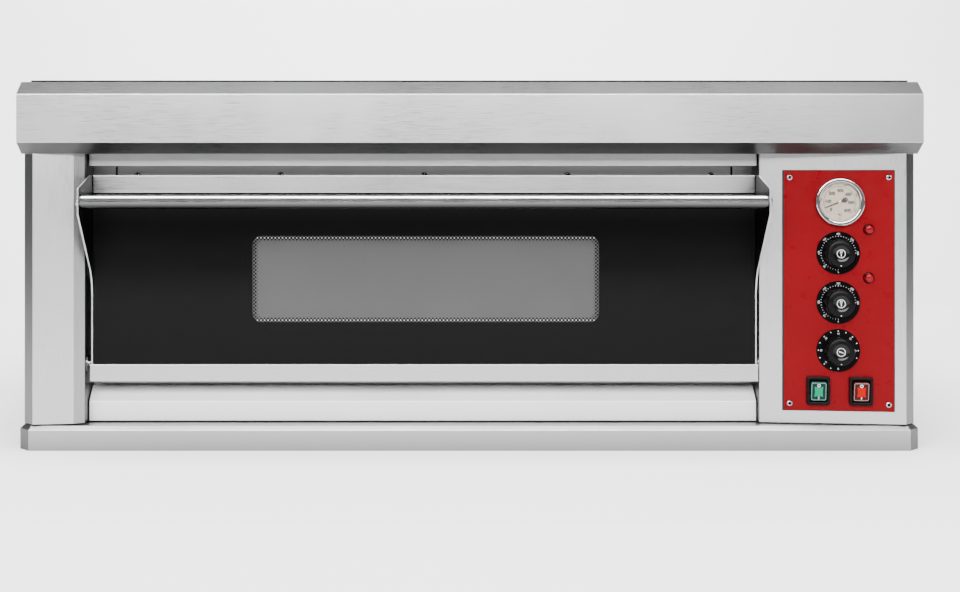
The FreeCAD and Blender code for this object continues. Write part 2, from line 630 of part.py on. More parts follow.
def make_door_strips():
    """Bottom rail that carries the glass, and the flange over its top edge."""
    inside = "door_half - plate_thick"
    rail = padded("rail", "YZ_Plane", [
        ("rail_depth", "rail_low"), ("glass_depth + glass_thick", "rail_low"),
        ("glass_depth + glass_thick", "rail_low + 2"), ("rail_depth + 2", "rail_low + 2"),
        ("rail_depth + 2", "rail_high - 2"), ("glass_depth", "rail_high - 2"), ("glass_depth", "rail_high"),
        ("rail_depth", "rail_high")], "centre - rail_half", "2 * rail_half")
    slots = []
    for name, start in (("left", "centre - rail_half - 1"), ("right", f"centre + {inside}")):
        slots.append(box(f"rail_{name}_slot", (start, "front + rail_depth + 2", "rail_low - 1"),
                         (f"rail_half + 1 - ({inside})", "20", "rail_high - rail_low + 2")))

    def rail_fold(edge):
        return along_x(edge) and edge.BoundBox.YMax < cell("front") + cell("rail_depth") + 0.1

    node(rounded("rail_rounded", cut("rail_cut", rail, *slots), 1, rail_fold), "door_bottom_rail")
    flange = padded("top_flange", "YZ_Plane", [
        ("flange_depth", "flange_low"), ("glass_depth - 0.8", "flange_low"),
        ("glass_depth - 0.8", "lip_low"), ("glass_depth", "lip_low"), ("glass_depth", "flange_high - 2"),
        ("door_back", "flange_high - 2"), ("door_back", "flange_high"), ("flange_depth", "flange_high")],
        f"centre - ({inside} - flange_play)", f"2 * ({inside} - flange_play)")

    def flange_fold(edge):
        return along_x(edge) and edge.BoundBox.YMax < cell("front") + cell("flange_depth") + 0.1

    node(rounded("flange_rounded", flange, 0.8, flange_fold), "door_top_flange")


def plate_outline():
    """Corners of a door side plate, as depth and height: a blunt nose out at the handle bar."""
    return [
        ("glass_depth - 2", "rail_low"), ("glass_depth - 2", "210"), ("glass_depth - 3.5", "222"),
        ("glass_depth - 7", "233.5"), ("glass_depth - 14", "245"), ("nose_depth", "nose_low"),
        ("nose_depth", "nose_high"), ("20", "flange_high - 3.2"), ("32", "flange_high"),
        ("door_back", "flange_high"), ("door_back", "inner_low"), ("pivot_depth + 6", "rail_low + 6"),
        ("pivot_depth + 4", "rail_low")]


def make_side_plate(side, start_x):
    """Tapering end plate of the door that carries the handle bar and the hinge pin."""
    plate = padded(f"{side}_plate", "YZ_Plane", plate_outline(), start_x, "plate_thick")
    doc.recompute()
    x = plate.Shape.BoundBox.XMin
    pin_hole = cylinder(f"{side}_pin_hole", "pin_radius", "20",
                        facing((1, 0, 0), x - 8, cell("front") + cell("pivot_depth"), cell("pivot_height")))
    node(cut(f"{side}_plate_cut", plate, pin_hole), f"door_{side}_side_plate")


def make_handle():
    """Round bar on a thinner bolt between the side plates, with a domed cap outside each plate."""
    inside = cell("door_half") - cell("plate_thick")
    y, z = cell("front") + cell("bar_depth"), cell("bar_height")
    bolt_length = "2 * (door_half - plate_thick)"
    bolt = cylinder("bar_bolt", "bolt_radius", bolt_length,
                    facing((1, 0, 0), cell("centre") - inside, y, z))
    tube = cylinder("bar_tube", "bar_radius", f"{bolt_length} - 2 * bar_gap",
                    facing((1, 0, 0), cell("centre") - inside + cell("bar_gap"), y, z))
    node(fuse("bar", tube, bolt), "handle_bar")
    caps = []
    for name, side in (("left", -1), ("right", 1)):
        x = cell("centre") + side * cell("door_half")
        caps.append(cylinder(f"{name}_cap", "cap_radius", "cap_proud", facing((side, 0, 0), x, y, z)))
    outer_x = cell("door_half") + cell("cap_proud")

    def cap_rim(edge):
        reach = abs(edge.BoundBox.Center.x - cell("centre"))
        return isinstance(edge.Curve, Part.Circle) and abs(reach - outer_x) < 0.1

    node(rounded("caps_rounded", group("cap_group", *caps), 2.5, cap_rim), "handle_end_caps")


def make_hinges():
    """Hinge pins fixed in the side plates, turning in flanged bushes in the jambs."""
    y, z = cell("front") + cell("pivot_depth"), cell("pivot_height")
    pins, bushes = [], []
    for name, side, jamb in (("left", -1, cell("opening_left")), ("right", 1, cell("opening_right"))):
        outward = (side, 0, 0)
        start = cell("centre") + side * (cell("door_half") - cell("plate_thick"))
        pins.append(cylinder(f"{name}_pin", "pin_radius", "plate_thick + bush_reach",
                             facing(outward, start, y, z)))
        barrel = cylinder(f"{name}_bush_barrel", "bush_radius", "bush_reach", facing(outward, jamb, y, z))
        flange = cylinder(f"{name}_bush_flange", "bush_flange", "bush_collar",
                          facing((-side, 0, 0), jamb, y, z))
        bore = cylinder(f"{name}_bush_bore", "pin_radius + pin_clear", "40",
                        facing(outward, jamb - side * 10, y, z))
        bushes.append(cut(f"{name}_bush", fuse(f"{name}_bush_body", barrel, flange), bore))
    node(group("pin_group", *pins), "hinge_pins")
    node(group("bush_group", *bushes), "hinge_bushes")


# ---------------------------------------------------------------- control panel
def panel_frame():
    """Frame on the right column's canted face: local X to the right, Y up, Z outwards."""
    tilt = cell("column_tilt")
    run = cell("casing_width") / 2 - cell("corner_cut") - cell("panel_x")
    depth = cell("hood_set") + run * math.tan(math.radians(tilt))
    turn = FreeCAD.Rotation(FreeCAD.Vector(0, 0, 1), -tilt)
    turn = turn.multiply(FreeCAD.Rotation(FreeCAD.Vector(1, 0, 0), 90))
    return FreeCAD.Placement(FreeCAD.Vector(cell("panel_x"), cell("front") + depth, cell("panel_z")), turn)


def on_panel(u, v, out):
    """A placement on the control panel, at a distance out from the column's face."""
    return panel_frame().multiply(FreeCAD.Placement(FreeCAD.Vector(u, v, out), FreeCAD.Rotation()))


def disc(name, u, v, out, radius, length):
    return cylinder(name, radius, length, on_panel(cell(u), cell(v), out))


def block(name, u, v, out, size):
    """A box centred on a panel point, starting at a distance out from the column's face."""
    wide, tall, deep = size
    return local_box(name, panel_frame(), (cell(u) - wide / 2, cell(v) - tall / 2, out), size)


def panel_openings(prefix, out, length):
    """Tools for the holes that the controls need through a sheet of the panel."""
    tools = [disc(f"{prefix}_gauge_hole", "gauge_u", "gauge_v", out, "gauge_can_radius + 0.5", str(length))]
    for v in ("upper_dial_v", "lower_dial_v", "timer_v"):
        tools.append(disc(f"{prefix}_{v}_hole", "dial_u", v, out, "bushing_radius + 0.3", str(length)))
    for v in ("upper_pilot_v", "lower_pilot_v"):
        tools.append(disc(f"{prefix}_{v}_hole", "pilot_u", v, out, "pilot_barrel + 0.3", str(length)))
    wide = cell("switch_wide") - 2 * cell("switch_rim") + 3.4
    tall = cell("switch_tall") - 2 * cell("switch_rim") + 3.4
    for u in ("green_u", "red_u"):
        tools.append(block(f"{prefix}_{u}_hole", u, "switch_v", out, (wide, tall, length)))
    return tools


def make_control_plate():
    """Coloured control plate on the right column, held by four corner screws."""
    wide, tall, thick = cell("panel_width"), cell("panel_high"), cell("panel_thick")
    plate = local_box("plate_blank", panel_frame(), (-wide / 2, -tall / 2, 0), (wide, tall, thick))
    drilled = cut("plate_drilled", plate, *panel_openings("plate", -5, 15))
    corner = FreeCAD.Vector(wide / 2, tall / 2, 0)

    def corner_edge(edge):
        middle = panel_frame().inverse().multVec(edge.BoundBox.Center)
        return abs(abs(middle.x) - corner.x) < 0.1 and abs(abs(middle.y) - corner.y) < 0.1

    node(rounded("plate_rounded", drilled, 2, corner_edge), "control_plate")
    screws = []
    for across in (-1, 1):
        for up in (-1, 1):
            place = on_panel(across * cell("panel_screw_u"), up * cell("panel_screw_v"), thick)
            screws.append(cylinder(f"panel_screw_{across + 1}{up + 1}", "panel_screw_radius", "2.2", place))

    def head_rim(edge):
        return panel_frame().inverse().multVec(edge.BoundBox.Center).z > thick + 2

    heads = group("panel_screw_group", *screws)
    node(rounded("panel_screws_rounded", heads, 1.3, head_rim), "control_plate_screws")


def make_gauge():
    """Dial thermometer: can with bezel, printed dial, needle and glass."""
    u, v = "gauge_u", "gauge_v"
    face = cell("panel_thick")
    deep = cell("gauge_can_deep")
    can = disc("gauge_can", u, v, face - deep, "gauge_can_radius", "gauge_can_deep")
    bezel = disc("gauge_bezel", u, v, face, "gauge_radius", "gauge_proud")
    well = disc("gauge_well", u, v, face - deep + 2, "gauge_can_radius - gauge_wall",
                "gauge_can_deep + gauge_proud")
    body = cut("gauge_body", fuse("gauge_solid", can, bezel), well)

    def bezel_rim(edge):
        centre = panel_frame().inverse().multVec(edge.BoundBox.Center)
        return centre.z > face + cell("gauge_proud") - 0.1

    node(rounded("gauge_rounded", body, 1.8, bezel_rim), "gauge_case")
    dial = disc("gauge_face", u, v, face - 1, "gauge_can_radius - gauge_wall - 0.1", "1")
    hole = disc("gauge_face_hole", u, v, face - 3, "1.1", "6")
    node(cut("gauge_dial_cut", dial, hole), "gauge_dial")
    frame = on_panel(cell(u), cell(v), face + 1.4)
    frame = frame.multiply(FreeCAD.Placement(FreeCAD.Vector(), FreeCAD.Rotation(FreeCAD.Vector(0, 0, 1),
                                                                             cell("needle_rest"))))
    blade = local_box("needle_blade", frame, (-7, -0.7, 0), (cell("needle_long") + 7, 1.4, 0.8))
    hub = cylinder("needle_hub", "3", "1.2", frame)
    shaft = cylinder("needle_shaft", "1", "12", frame.multiply(FreeCAD.Placement(FreeCAD.Vector(0, 0, -11),
                                                                             FreeCAD.Rotation())))
    node(fuse("needle", blade, hub, shaft), "gauge_needle")
    node(disc("gauge_glass", u, v, face + 4.2, "gauge_can_radius - gauge_wall - 0.1", "1.8"), "gauge_lens")


def make_controls():
    """Two thermostats and a bake timer, each with a scale plate and a knob on its spindle."""
    face = cell("panel_thick")
    deep, side = cell("control_box_deep"), cell("control_box")
    base = face - cell("bushing_deep")
    plates, thermostats = [], []
    for label, v, knob in (("upper_thermostat", "upper_dial_v", "upper_thermostat_knob"),
                           ("lower_thermostat", "lower_dial_v", "lower_thermostat_knob"),
                           ("bake_timer", "timer_v", "timer_knob")):
        case = block(f"{label}_case", "dial_u", v, base - deep, (side, side, deep))
        bushing = disc(f"{label}_bushing", "dial_u", v, base, "bushing_radius", "bushing_deep")
        bore = disc(f"{label}_bore", "dial_u", v, base - 16, "spindle_radius + pin_clear",
                    "bushing_deep + 20")
        device = cut(f"{label}_cut", fuse(f"{label}_body", case, bushing), bore)
        if label == "bake_timer":
            node(device, label)
        else:
            thermostats.append(device)
        plate = disc(f"{label}_scale", "dial_u", v, face, "dial_radius", "dial_thick")
        eye = disc(f"{label}_scale_hole", "dial_u", v, face - 1, "spindle_radius + 0.6", "5")
        plates.append(cut(f"{label}_scale_cut", plate, eye))
        start = face + cell("dial_thick") + cell("door_clear")
        cap = disc(f"{knob}_cap", "dial_u", v, start, "knob_radius", "knob_proud")
        spindle = disc(f"{knob}_spindle", "dial_u", v, base - 14, "spindle_radius", "bushing_deep + 18")

        def cap_rim(edge, limit=start + cell("knob_proud") - 0.1):
            return panel_frame().inverse().multVec(edge.BoundBox.Center).z > limit

        node(rounded(f"{knob}_rounded", fuse(f"{knob}_body", cap, spindle), 3, cap_rim), knob)
    node(group("thermostat_group", *thermostats), "thermostats")
    node(group("scale_group", *plates), "dial_plates")


def make_pilots():
    """Pilot lamps beside the thermostats: bezel with its barrel, and a lens dome."""
    face = cell("panel_thick")
    housings, domes = [], []
    for v in ("upper_pilot_v", "lower_pilot_v"):
        ring = disc(f"{v}_ring", "pilot_u", v, face, "pilot_radius", "pilot_ring")
        barrel = disc(f"{v}_barrel", "pilot_u", v, face - cell("pilot_deep"), "pilot_barrel", "pilot_deep")
        housings.append(fuse(f"{v}_housing", ring, barrel))
        dome = doc.addObject("Part::Sphere", f"{v}_dome")
        bind(dome, "Radius", "pilot_dome")
        dome.Angle1 = 0
        dome.Placement = on_panel(cell("pilot_u"), cell(v), face + cell("pilot_ring"))
        domes.append(dome)
    node(group("pilot_housing_group", *housings), "pilot_lamp_housings")
    node(group("pilot_dome_group", *domes), "pilot_lamp_domes")


def make_switches():
    """Two rocker switches: framed housings, and rockers on a pivot across the opening."""
    face = cell("panel_thick")
    wide, tall, rim = cell("switch_wide"), cell("switch_tall"), cell("switch_rim")
    gap, deep = cell("rocker_gap"), cell("switch_deep")
    inner_wide, inner_tall = wide - 2 * rim, tall - 2 * rim
    housings = []
    for name, u in (("green_rocker", "green_u"), ("red_rocker", "red_u")):
        bezel = block(f"{name}_bezel", u, "switch_v", face, (wide, tall, cell("switch_proud")))
        case = block(f"{name}_case", u, "switch_v", face - deep, (inner_wide + 3, inner_tall + 3, deep))
        well = block(f"{name}_well", u, "switch_v", face - deep + 2, (inner_wide, inner_tall, 60))
        half = inner_tall / 2 - 1.6
        frame = on_panel(cell(u), cell("switch_v"), face + cell("rocker_pivot"))
        reach = inner_wide / 2 + cell("rocker_pin_reach")
        across = FreeCAD.Placement(FreeCAD.Vector(-reach - 0.1, 0, 0),
                                   FreeCAD.Rotation(FreeCAD.Vector(0, 1, 0), 90))
        pin_seat = cylinder(f"{name}_pin_seat", "rocker_pin + pin_clear", str(2 * reach + 0.2),
                            frame.multiply(across))
        housings.append(cut(f"{name}_housing", fuse(f"{name}_solid", bezel, case), well, pin_seat))
        lean = FreeCAD.Rotation(FreeCAD.Vector(1, 0, 0), cell("rocker_tilt"))
        frame = frame.multiply(FreeCAD.Placement(FreeCAD.Vector(), lean))
        corners = [(-half, 5), (0, 3.2), (half, 5), (half - 2, -9), (-half + 2, -9)]
        points = [FreeCAD.Vector(-inner_wide / 2 + gap, y, z) for y, z in corners]
        profile = Part.Face(Part.makePolygon(points + points[:1]))
        rocker = doc.addObject("Part::Feature", name)
        pin = Part.makeCylinder(cell("rocker_pin"), 2 * reach, FreeCAD.Vector(-reach, 0, 0),
                                FreeCAD.Vector(1, 0, 0))
        rocker.Shape = profile.extrude(FreeCAD.Vector(inner_wide - 2 * gap, 0, 0)).fuse(pin)
        rocker.Placement = frame
        node(rocker, name)
    node(group("switch_group", *housings), "switch_housings")


# ---------------------------------------------------------------- electrical and back
def make_electrics():
    """Contactors and the supply terminal block on the compartment wall."""
    wall = "wool_right + 2 + sheet_wall"
    contactors = []
    for step in range(2):
        corner = (wall, f"front + contactor_depth + 75 * {step}", "contactor_low")
        contactors.append(box(f"contactor_{step}", corner, ("62", "45", "80")))
    node(group("contactor_group", *contactors), "contactors")
    ribs = [box("terminal_base", (wall, "front + terminal_depth", "terminal_low"), ("38", "92", "28"))]
    for step in range(6):
        corner = (wall, f"front + terminal_depth + 18 * {step}", "terminal_low + 28")
        ribs.append(box(f"terminal_rib_{step}", corner, ("38", "2", "8")))
    node(fuse("terminal", *ribs), "terminal_block")


def make_rear_fittings():
    """Flue spigot and cable gland in the rear panel."""
    back = cell("front") + cell("casing_depth")
    pipe_start = back - cell("flue_length") + cell("gland_proud") + 4
    pipe = cylinder("flue_pipe", "flue_radius", "flue_length",
                    facing((0, 1, 0), cell("flue_x"), pipe_start, cell("flue_z")))
    bore = cylinder("flue_bore", "flue_radius - flue_wall", "flue_length + 10",
                    facing((0, 1, 0), cell("flue_x"), pipe_start - 5, cell("flue_z")))
    collar = cylinder("flue_collar", "flue_radius + 12", "1.5",
                      facing((0, 1, 0), cell("flue_x"), back, cell("flue_z")))
    node(cut("flue_cut", fuse("flue_body", pipe, collar), bore), "flue_spigot")
    x, z = cell("gland_x"), cell("gland_z")
    thread = cylinder("gland_thread", "gland_radius - 3", "12", facing((0, 1, 0), x, back - 12, z))
    nut = doc.addObject("Part::Prism", "gland_nut")
    nut.Polygon = 6
    bind(nut, "Circumradius", "gland_radius + 2")
    nut.Height = 6
    nut.Placement = facing((0, 1, 0), x, back, z)
    dome = cylinder("gland_dome", "gland_radius - 1", "gland_proud", facing((0, 1, 0), x, back, z))
    hole = cylinder("gland_bore_tool", "gland_bore", "60", facing((0, 1, 0), x, back - 20, z))
    node(cut("gland_cut", fuse("gland_body", thread, nut, dome), hole), "cable_gland")


# ---------------------------------------------------------------- the whole oven
make_plinth()
make_side_panels()
make_rear_panel()
make_top_cover()
make_hood()
make_columns()
make_front_strips()
make_chamber_frame()
make_liner()
make_hearth()
make_elements("upper_heating_elements", "upper_rod_height")
make_elements("lower_heating_elements", "lower_rod_height")
make_hangers()
make_insulation()
make_compartment_wall()
make_lamp()
make_probes()
make_door_glass()
make_inner_panel()
make_gasket()
make_door_strips()
make_side_plate("left", "centre - door_half")
make_side_plate("right", "centre + door_half - plate_thick")
make_handle()
make_hinges()
make_control_plate()
make_gauge()
make_controls()
make_pilots()
make_switches()
make_electrics()
make_rear_fittings()
doc.recompute()

for item in doc.Objects:
    if "Invalid" in item.State or "Error" in item.State:
        raise RuntimeError(f"{item.Label} failed: {item.State}")
for item in nodes:
    shape = item.Shape
    if shape.isNull() or not shape.isValid() or not shape.Solids:
        raise RuntimeError(f"{item.Label} has no valid solid")
for item in nodes:
    item.Shape.exportStep(f"parts/{item.Label}.step")
    print(item.Label, len(item.Shape.Solids), "solids", round(item.Shape.Volume / 1000, 2), "cm3")
print(len(nodes), "nodes")
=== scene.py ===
"""Looks for the deck oven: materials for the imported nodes, and detailed pieces for the glass,
gauge, dials, knobs, lamps, rockers and screws. Metres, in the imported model's own frame."""
import json
import math
import bmesh
import bpy
from mathutils import Matrix, Vector


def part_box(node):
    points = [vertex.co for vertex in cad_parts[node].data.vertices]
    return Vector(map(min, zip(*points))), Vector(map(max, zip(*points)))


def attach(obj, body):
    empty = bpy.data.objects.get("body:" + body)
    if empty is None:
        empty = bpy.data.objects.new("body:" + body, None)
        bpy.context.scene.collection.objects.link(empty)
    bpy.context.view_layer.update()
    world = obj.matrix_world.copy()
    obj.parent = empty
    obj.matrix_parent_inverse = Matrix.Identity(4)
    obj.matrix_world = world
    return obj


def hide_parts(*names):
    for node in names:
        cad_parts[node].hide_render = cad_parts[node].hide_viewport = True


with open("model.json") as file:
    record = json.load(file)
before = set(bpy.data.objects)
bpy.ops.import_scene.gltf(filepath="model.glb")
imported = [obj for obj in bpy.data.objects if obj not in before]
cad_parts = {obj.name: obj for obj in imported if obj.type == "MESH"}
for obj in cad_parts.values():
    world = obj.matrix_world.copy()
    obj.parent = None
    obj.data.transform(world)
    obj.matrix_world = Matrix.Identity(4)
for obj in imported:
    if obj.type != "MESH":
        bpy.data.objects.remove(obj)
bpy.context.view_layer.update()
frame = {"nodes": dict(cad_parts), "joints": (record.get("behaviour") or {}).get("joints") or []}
NODES = frame["nodes"]
JOINTS = {joint["name"]: joint for joint in frame["joints"]}
MM = 0.001
PRINT = 0.06 * MM


# ---------------------------------------------------------------- material recipes
class Recipe:
    """A procedural material built around one Principled shader."""

    def __init__(self, name, color, roughness, metallic=0.0, **sockets):
        self.material = bpy.data.materials.new(name)
        self.material.use_nodes = True
        self.tree = self.material.node_tree
        self.shader = self.tree.nodes["Principled BSDF"]
        self.set("Base Color", (*color, 1.0))
        self.set("Roughness", roughness)
        self.set("Metallic", metallic)
        for socket, value in sockets.items():
            self.set(socket.replace("_", " "), value)

    def set(self, socket, value):
        self.shader.inputs[socket].default_value = value

    def node(self, kind, **inputs):
        """Add a node; keyword inputs are values or sockets to link from."""
        made = self.tree.nodes.new(kind)
        for name, value in inputs.items():
            socket = made.inputs[name.replace("_", " ")]
            if isinstance(value, bpy.types.NodeSocket):
                self.tree.links.new(value, socket)
            else:
                socket.default_value = value
        return made

    def place(self, stretch=(1, 1, 1)):
        """Object coordinates in metres, stretched along the axes."""
        coords = self.node("ShaderNodeTexCoord").outputs["Object"]
        return self.node("ShaderNodeMapping", Vector=coords, Scale=stretch).outputs["Vector"]

    def noise(self, scale, stretch=(1, 1, 1), detail=3.0, roughness=0.55):
        made = self.node("ShaderNodeTexNoise", Vector=self.place(stretch), Scale=scale, Detail=detail,
                         Roughness=roughness)
        return made.outputs["Fac"]

    def remap(self, value, low, high, start=0.3, end=0.7):
        """Spread the start..end part of a value between low and high."""
        made = self.node("ShaderNodeMapRange", Value=value)
        made.inputs["From Min"].default_value = start
        made.inputs["From Max"].default_value = end
        made.inputs["To Min"].default_value = low
        made.inputs["To Max"].default_value = high
        return made.outputs["Result"]

    def upward(self):
        """One on faces that look straight up, minus one on those that look down."""
        normal = self.node("ShaderNodeNewGeometry").outputs["Normal"]
        return self.node("ShaderNodeSeparateXYZ", Vector=normal).outputs["Z"]

    def looking_out(self):
        """One on faces that look out to the oven's sides, minus one on those towards its middle."""
        normal = self.node("ShaderNodeNewGeometry").outputs["Normal"]
        sideways = self.node("ShaderNodeSeparateXYZ", Vector=normal).outputs["X"]
        across = self.node("ShaderNodeSeparateXYZ", Vector=self.place()).outputs["X"]
        side = self.math("SIGN", across)
        return self.math("MULTIPLY", side, sideways)

    def openness(self, reach):
        """Nought deep in seams and corners, one on open faces; the materials use it to paint shade there.
        """
        nearby = self.node("ShaderNodeAmbientOcclusion", Distance=reach)
        nearby.samples = 4
        return nearby.outputs["AO"]

    def math(self, operation, *values):
        made = self.tree.nodes.new("ShaderNodeMath")
        made.operation = operation
        for socket, value in zip(made.inputs, values):
            self.tree.links.new(value, socket)
        return made.outputs[0]

    def shade(self, value, dark, light):
        """Colour ramp between two colours."""
        ramp = self.node("ShaderNodeValToRGB", Fac=value)
        ramp.color_ramp.elements[0].color = (*dark, 1.0)
        ramp.color_ramp.elements[1].color = (*light, 1.0)
        return ramp.outputs["Color"]

    def mix(self, factor, first, second, blend="MIX"):
        made = self.tree.nodes.new("ShaderNodeMix")
        made.data_type = "RGBA"
        made.blend_type = blend
        for socket, value in ((made.inputs[0], factor), (made.inputs[6], first), (made.inputs[7], second)):
            if isinstance(value, bpy.types.NodeSocket):
                self.tree.links.new(value, socket)
            else:
                socket.default_value = value
        return made.outputs[2]

    def link(self, output, socket):
        self.tree.links.new(output, self.shader.inputs[socket])

    def soft_normal(self, radius):
        """Surface normal with the sharp folds rounded off."""
        soft = self.node("ShaderNodeBevel", Radius=radius)
        soft.samples = 4
        return soft.outputs["Normal"]

    def fold_highlight_mask(self, soft):
        """One along the sharp folds, where the rounded normal leaves the true one; it places a painted
        highlight.
        """
        flat = self.node("ShaderNodeNewGeometry").outputs["Normal"]
        agree = self.tree.nodes.new("ShaderNodeVectorMath")
        agree.operation = "DOT_PRODUCT"
        self.tree.links.new(flat, agree.inputs[0])
        self.tree.links.new(soft, agree.inputs[1])
        return self.remap(agree.outputs["Value"], 1.0, 0.0, 0.93, 0.995)

    def bump(self, height, strength, distance, edge=0.0):
        """Surface relief; an edge radius also rounds the sharp folds."""
        made = self.node("ShaderNodeBump", Height=height, Strength=strength, Distance=distance)
        if edge:
            self.tree.links.new(self.soft_normal(edge), made.inputs["Normal"])
        self.link(made.outputs["Normal"], "Normal")


def tinted(color, factor):
    return tuple(min(channel * factor, 1.0) for channel in color)


def brushed_steel(name, grain, color=(0.45, 0.45, 0.455), roughness=0.3, inner=1.0, outer=1.0, upper=1.0,
                  under=0.2, seam=0.3):
    """Satin sheet: fine scratches along one axis, cloudy marks, and a painted highlight on the folds.

    Inner, outer, upper and under scale the tone of the faces that look to the oven's middle, to its
    sides, up and down; seam scales the tone deep in a seam. This is painted shade, and painted light
    where a value is above one.
    """
    steel = Recipe(name, color, roughness, 1.0)
    across = [2600.0, 2600.0, 2600.0]
    across["XYZ".index(grain)] = 30.0
    fine = steel.noise(1.0, across, 4.0, 0.7)
    clouds = steel.noise(5.5, (1, 1, 1), 5.0)
    streaks = steel.remap(fine, -0.05, 0.05)
    smudges = steel.remap(clouds, roughness - 0.02, roughness + 0.03)
    steel.link(steel.math("ADD", streaks, smudges), "Roughness")
    tone = steel.shade(fine, tinted(color, 0.95), tinted(color, 1.05))
    cloudy = steel.shade(clouds, (0.97, 0.97, 0.97), (1.0, 1.0, 1.0))
    clean = steel.mix(1.0, tone, cloudy, "MULTIPLY")
    # Painted shade: each value scales the tone by which way a face looks, and deep in seams; above one it
    # is painted light.
    sideways = steel.looking_out()
    painted_shade_and_light = (steel.remap(sideways, 1.0, outer, 0.5, 0.75),
               steel.remap(sideways, inner, 1.0, -0.7, -0.25),
               steel.remap(steel.upward(), 1.0, upper, 0.3, 0.6),
               steel.remap(steel.upward(), under, 1.0, -0.75, -0.25),
               steel.remap(steel.openness(60 * MM), seam, 1.0, 0.2, 0.85))
    for factor in painted_shade_and_light:
        clean = steel.mix(1.0, clean, factor, "MULTIPLY")
    soft = steel.soft_normal(0.9 * MM)
    # Painted highlight: the folds get a lighter copy of the colour.
    steel.link(steel.mix(steel.fold_highlight_mask(soft), clean, (*tinted(color, 1.9), 1.0)), "Base Color")
    relief = steel.node("ShaderNodeBump", Height=fine, Strength=0.10, Distance=0.05 * MM, Normal=soft)
    steel.link(relief.outputs["Normal"], "Normal")
    return steel.material


def polished_steel(name, color=(0.36, 0.36, 0.365), roughness=0.12, painted_bands=()):
    """Bright turned or polished metal with faint lathe lines, and painted reflection where given.

    The painted reflection is given as pairs of how far up a face looks and the tone factor there, from
    -1 to 1; these paint the shade, dark lines and highlights that the metal reflects.
    """
    steel = Recipe(name, color, roughness, 1.0)
    lines = steel.noise(1.0, (2500.0, 6.0, 6.0), 2.0)
    marks = steel.noise(30.0)
    steel.link(steel.remap(marks, roughness - 0.03, roughness + 0.08), "Roughness")
    tone = steel.shade(marks, tinted(color, 0.92), color)
    # Painted reflection: the tone is set by how far up each face looks.
    if painted_bands:
        ramp = steel.node("ShaderNodeValToRGB", Fac=steel.remap(steel.upward(), 0.0, 1.0, -1.0, 1.0))
        stops = ramp.color_ramp.elements
        for upward, _ in painted_bands[1:-1]:
            stops.new((upward + 1) / 2)
        for stop, (_, factor) in zip(stops, painted_bands):
            stop.color = (factor, factor, factor, 1.0)
        tone = steel.mix(1.0, tone, ramp.outputs["Color"], "MULTIPLY")
    steel.link(tone, "Base Color")
    steel.bump(lines, 0.05, 0.02 * MM)
    return steel.material


def zinc_sheet(name, color=(0.27, 0.28, 0.285)):
    """Galvanised sheet with its crystal spangle."""
    zinc = Recipe(name, color, 0.42, 0.9)
    spangle = zinc.node("ShaderNodeTexVoronoi", Vector=zinc.place(), Scale=90.0)
    tone = zinc.shade(spangle.outputs["Color"], tinted(color, 0.7), tinted(color, 1.2))
    zinc.link(tone, "Base Color")
    zinc.link(zinc.remap(zinc.noise(45.0), 0.32, 0.52), "Roughness")
    zinc.bump(spangle.outputs["Distance"], 0.08, 0.1 * MM, 0.6 * MM)
    return zinc.material


def baked_sheet(name):
    """Chamber sheet, straw and brown where the heat has worked on it."""
    sheet = Recipe(name, (0.40, 0.36, 0.30), 0.45, 0.85)
    stain = sheet.noise(7.0, (1, 1, 1.6), 6.0, 0.6)
    color = sheet.shade(stain, (0.10, 0.07, 0.045), (0.29, 0.27, 0.24))
    sheet.link(color, "Base Color")
    sheet.link(sheet.remap(stain, 0.55, 0.33), "Roughness")
    sheet.bump(sheet.noise(220.0), 0.12, 0.1 * MM, 0.8 * MM)
    return sheet.material


def enamelled_glass(name):
    """Deep black glass with the faintest film of dust and wiping marks."""
    glass = Recipe(name, (0.004, 0.004, 0.0041), 0.05, 0.0, Specular_IOR_Level=0.04)
    wipes = glass.noise(14.0, (1.0, 1.0, 3.0), 6.0, 0.65)
    dust = glass.noise(900.0, (1, 1, 1), 1.0)
    glass.link(glass.remap(wipes, 0.035, 0.13), "Roughness")
    speck = glass.remap(dust, 0.0, 1.0, 0.70, 0.78)
    glass.link(glass.mix(speck, (0.003, 0.003, 0.0031, 1.0), (0.0065, 0.0065, 0.0067, 1.0)), "Base Color")
    return glass.material


def smoked_glass(name):
    """Window pane: a grey reflective film that lets a little of the chamber show."""
    glass = Recipe(name, (0.046, 0.046, 0.047), 0.16, 0.0, Alpha=0.93, Specular_IOR_Level=0.2)
    haze = glass.noise(6.0, (1, 1, 1), 4.0)
    glass.link(glass.shade(haze, (0.042, 0.042, 0.043), (0.050, 0.050, 0.051)), "Base Color")
    glass.link(glass.remap(glass.noise(40.0), 0.12, 0.22), "Roughness")
    return glass.material


def clear_glass(name, alpha=0.16, tint=(0.93, 0.96, 0.95)):
    """Thin clear glass or cover plastic; see-through by alpha, with a glossy face."""
    glass = Recipe(name, tint, 0.03, 0.0, Alpha=alpha, Coat_Weight=1.0, Coat_Roughness=0.02)
    glass.link(glass.remap(glass.noise(60.0), 0.02, 0.07), "Roughness")
    return glass.material


def gloss_paint(name, color, roughness=0.22, shine=0.06):
    """Sprayed gloss coat with a little orange peel and uneven film."""
    paint = Recipe(name, color, roughness, 0.0, Specular_IOR_Level=shine)
    film = paint.noise(9.0, (1, 1, 1), 3.0)
    paint.link(paint.shade(film, tinted(color, 0.86), tinted(color, 1.08)), "Base Color")
    paint.link(paint.remap(paint.noise(60.0), roughness - 0.04, roughness + 0.10), "Roughness")
    paint.bump(paint.noise(420.0), 0.06, 0.1 * MM, 0.6 * MM)
    return paint.material


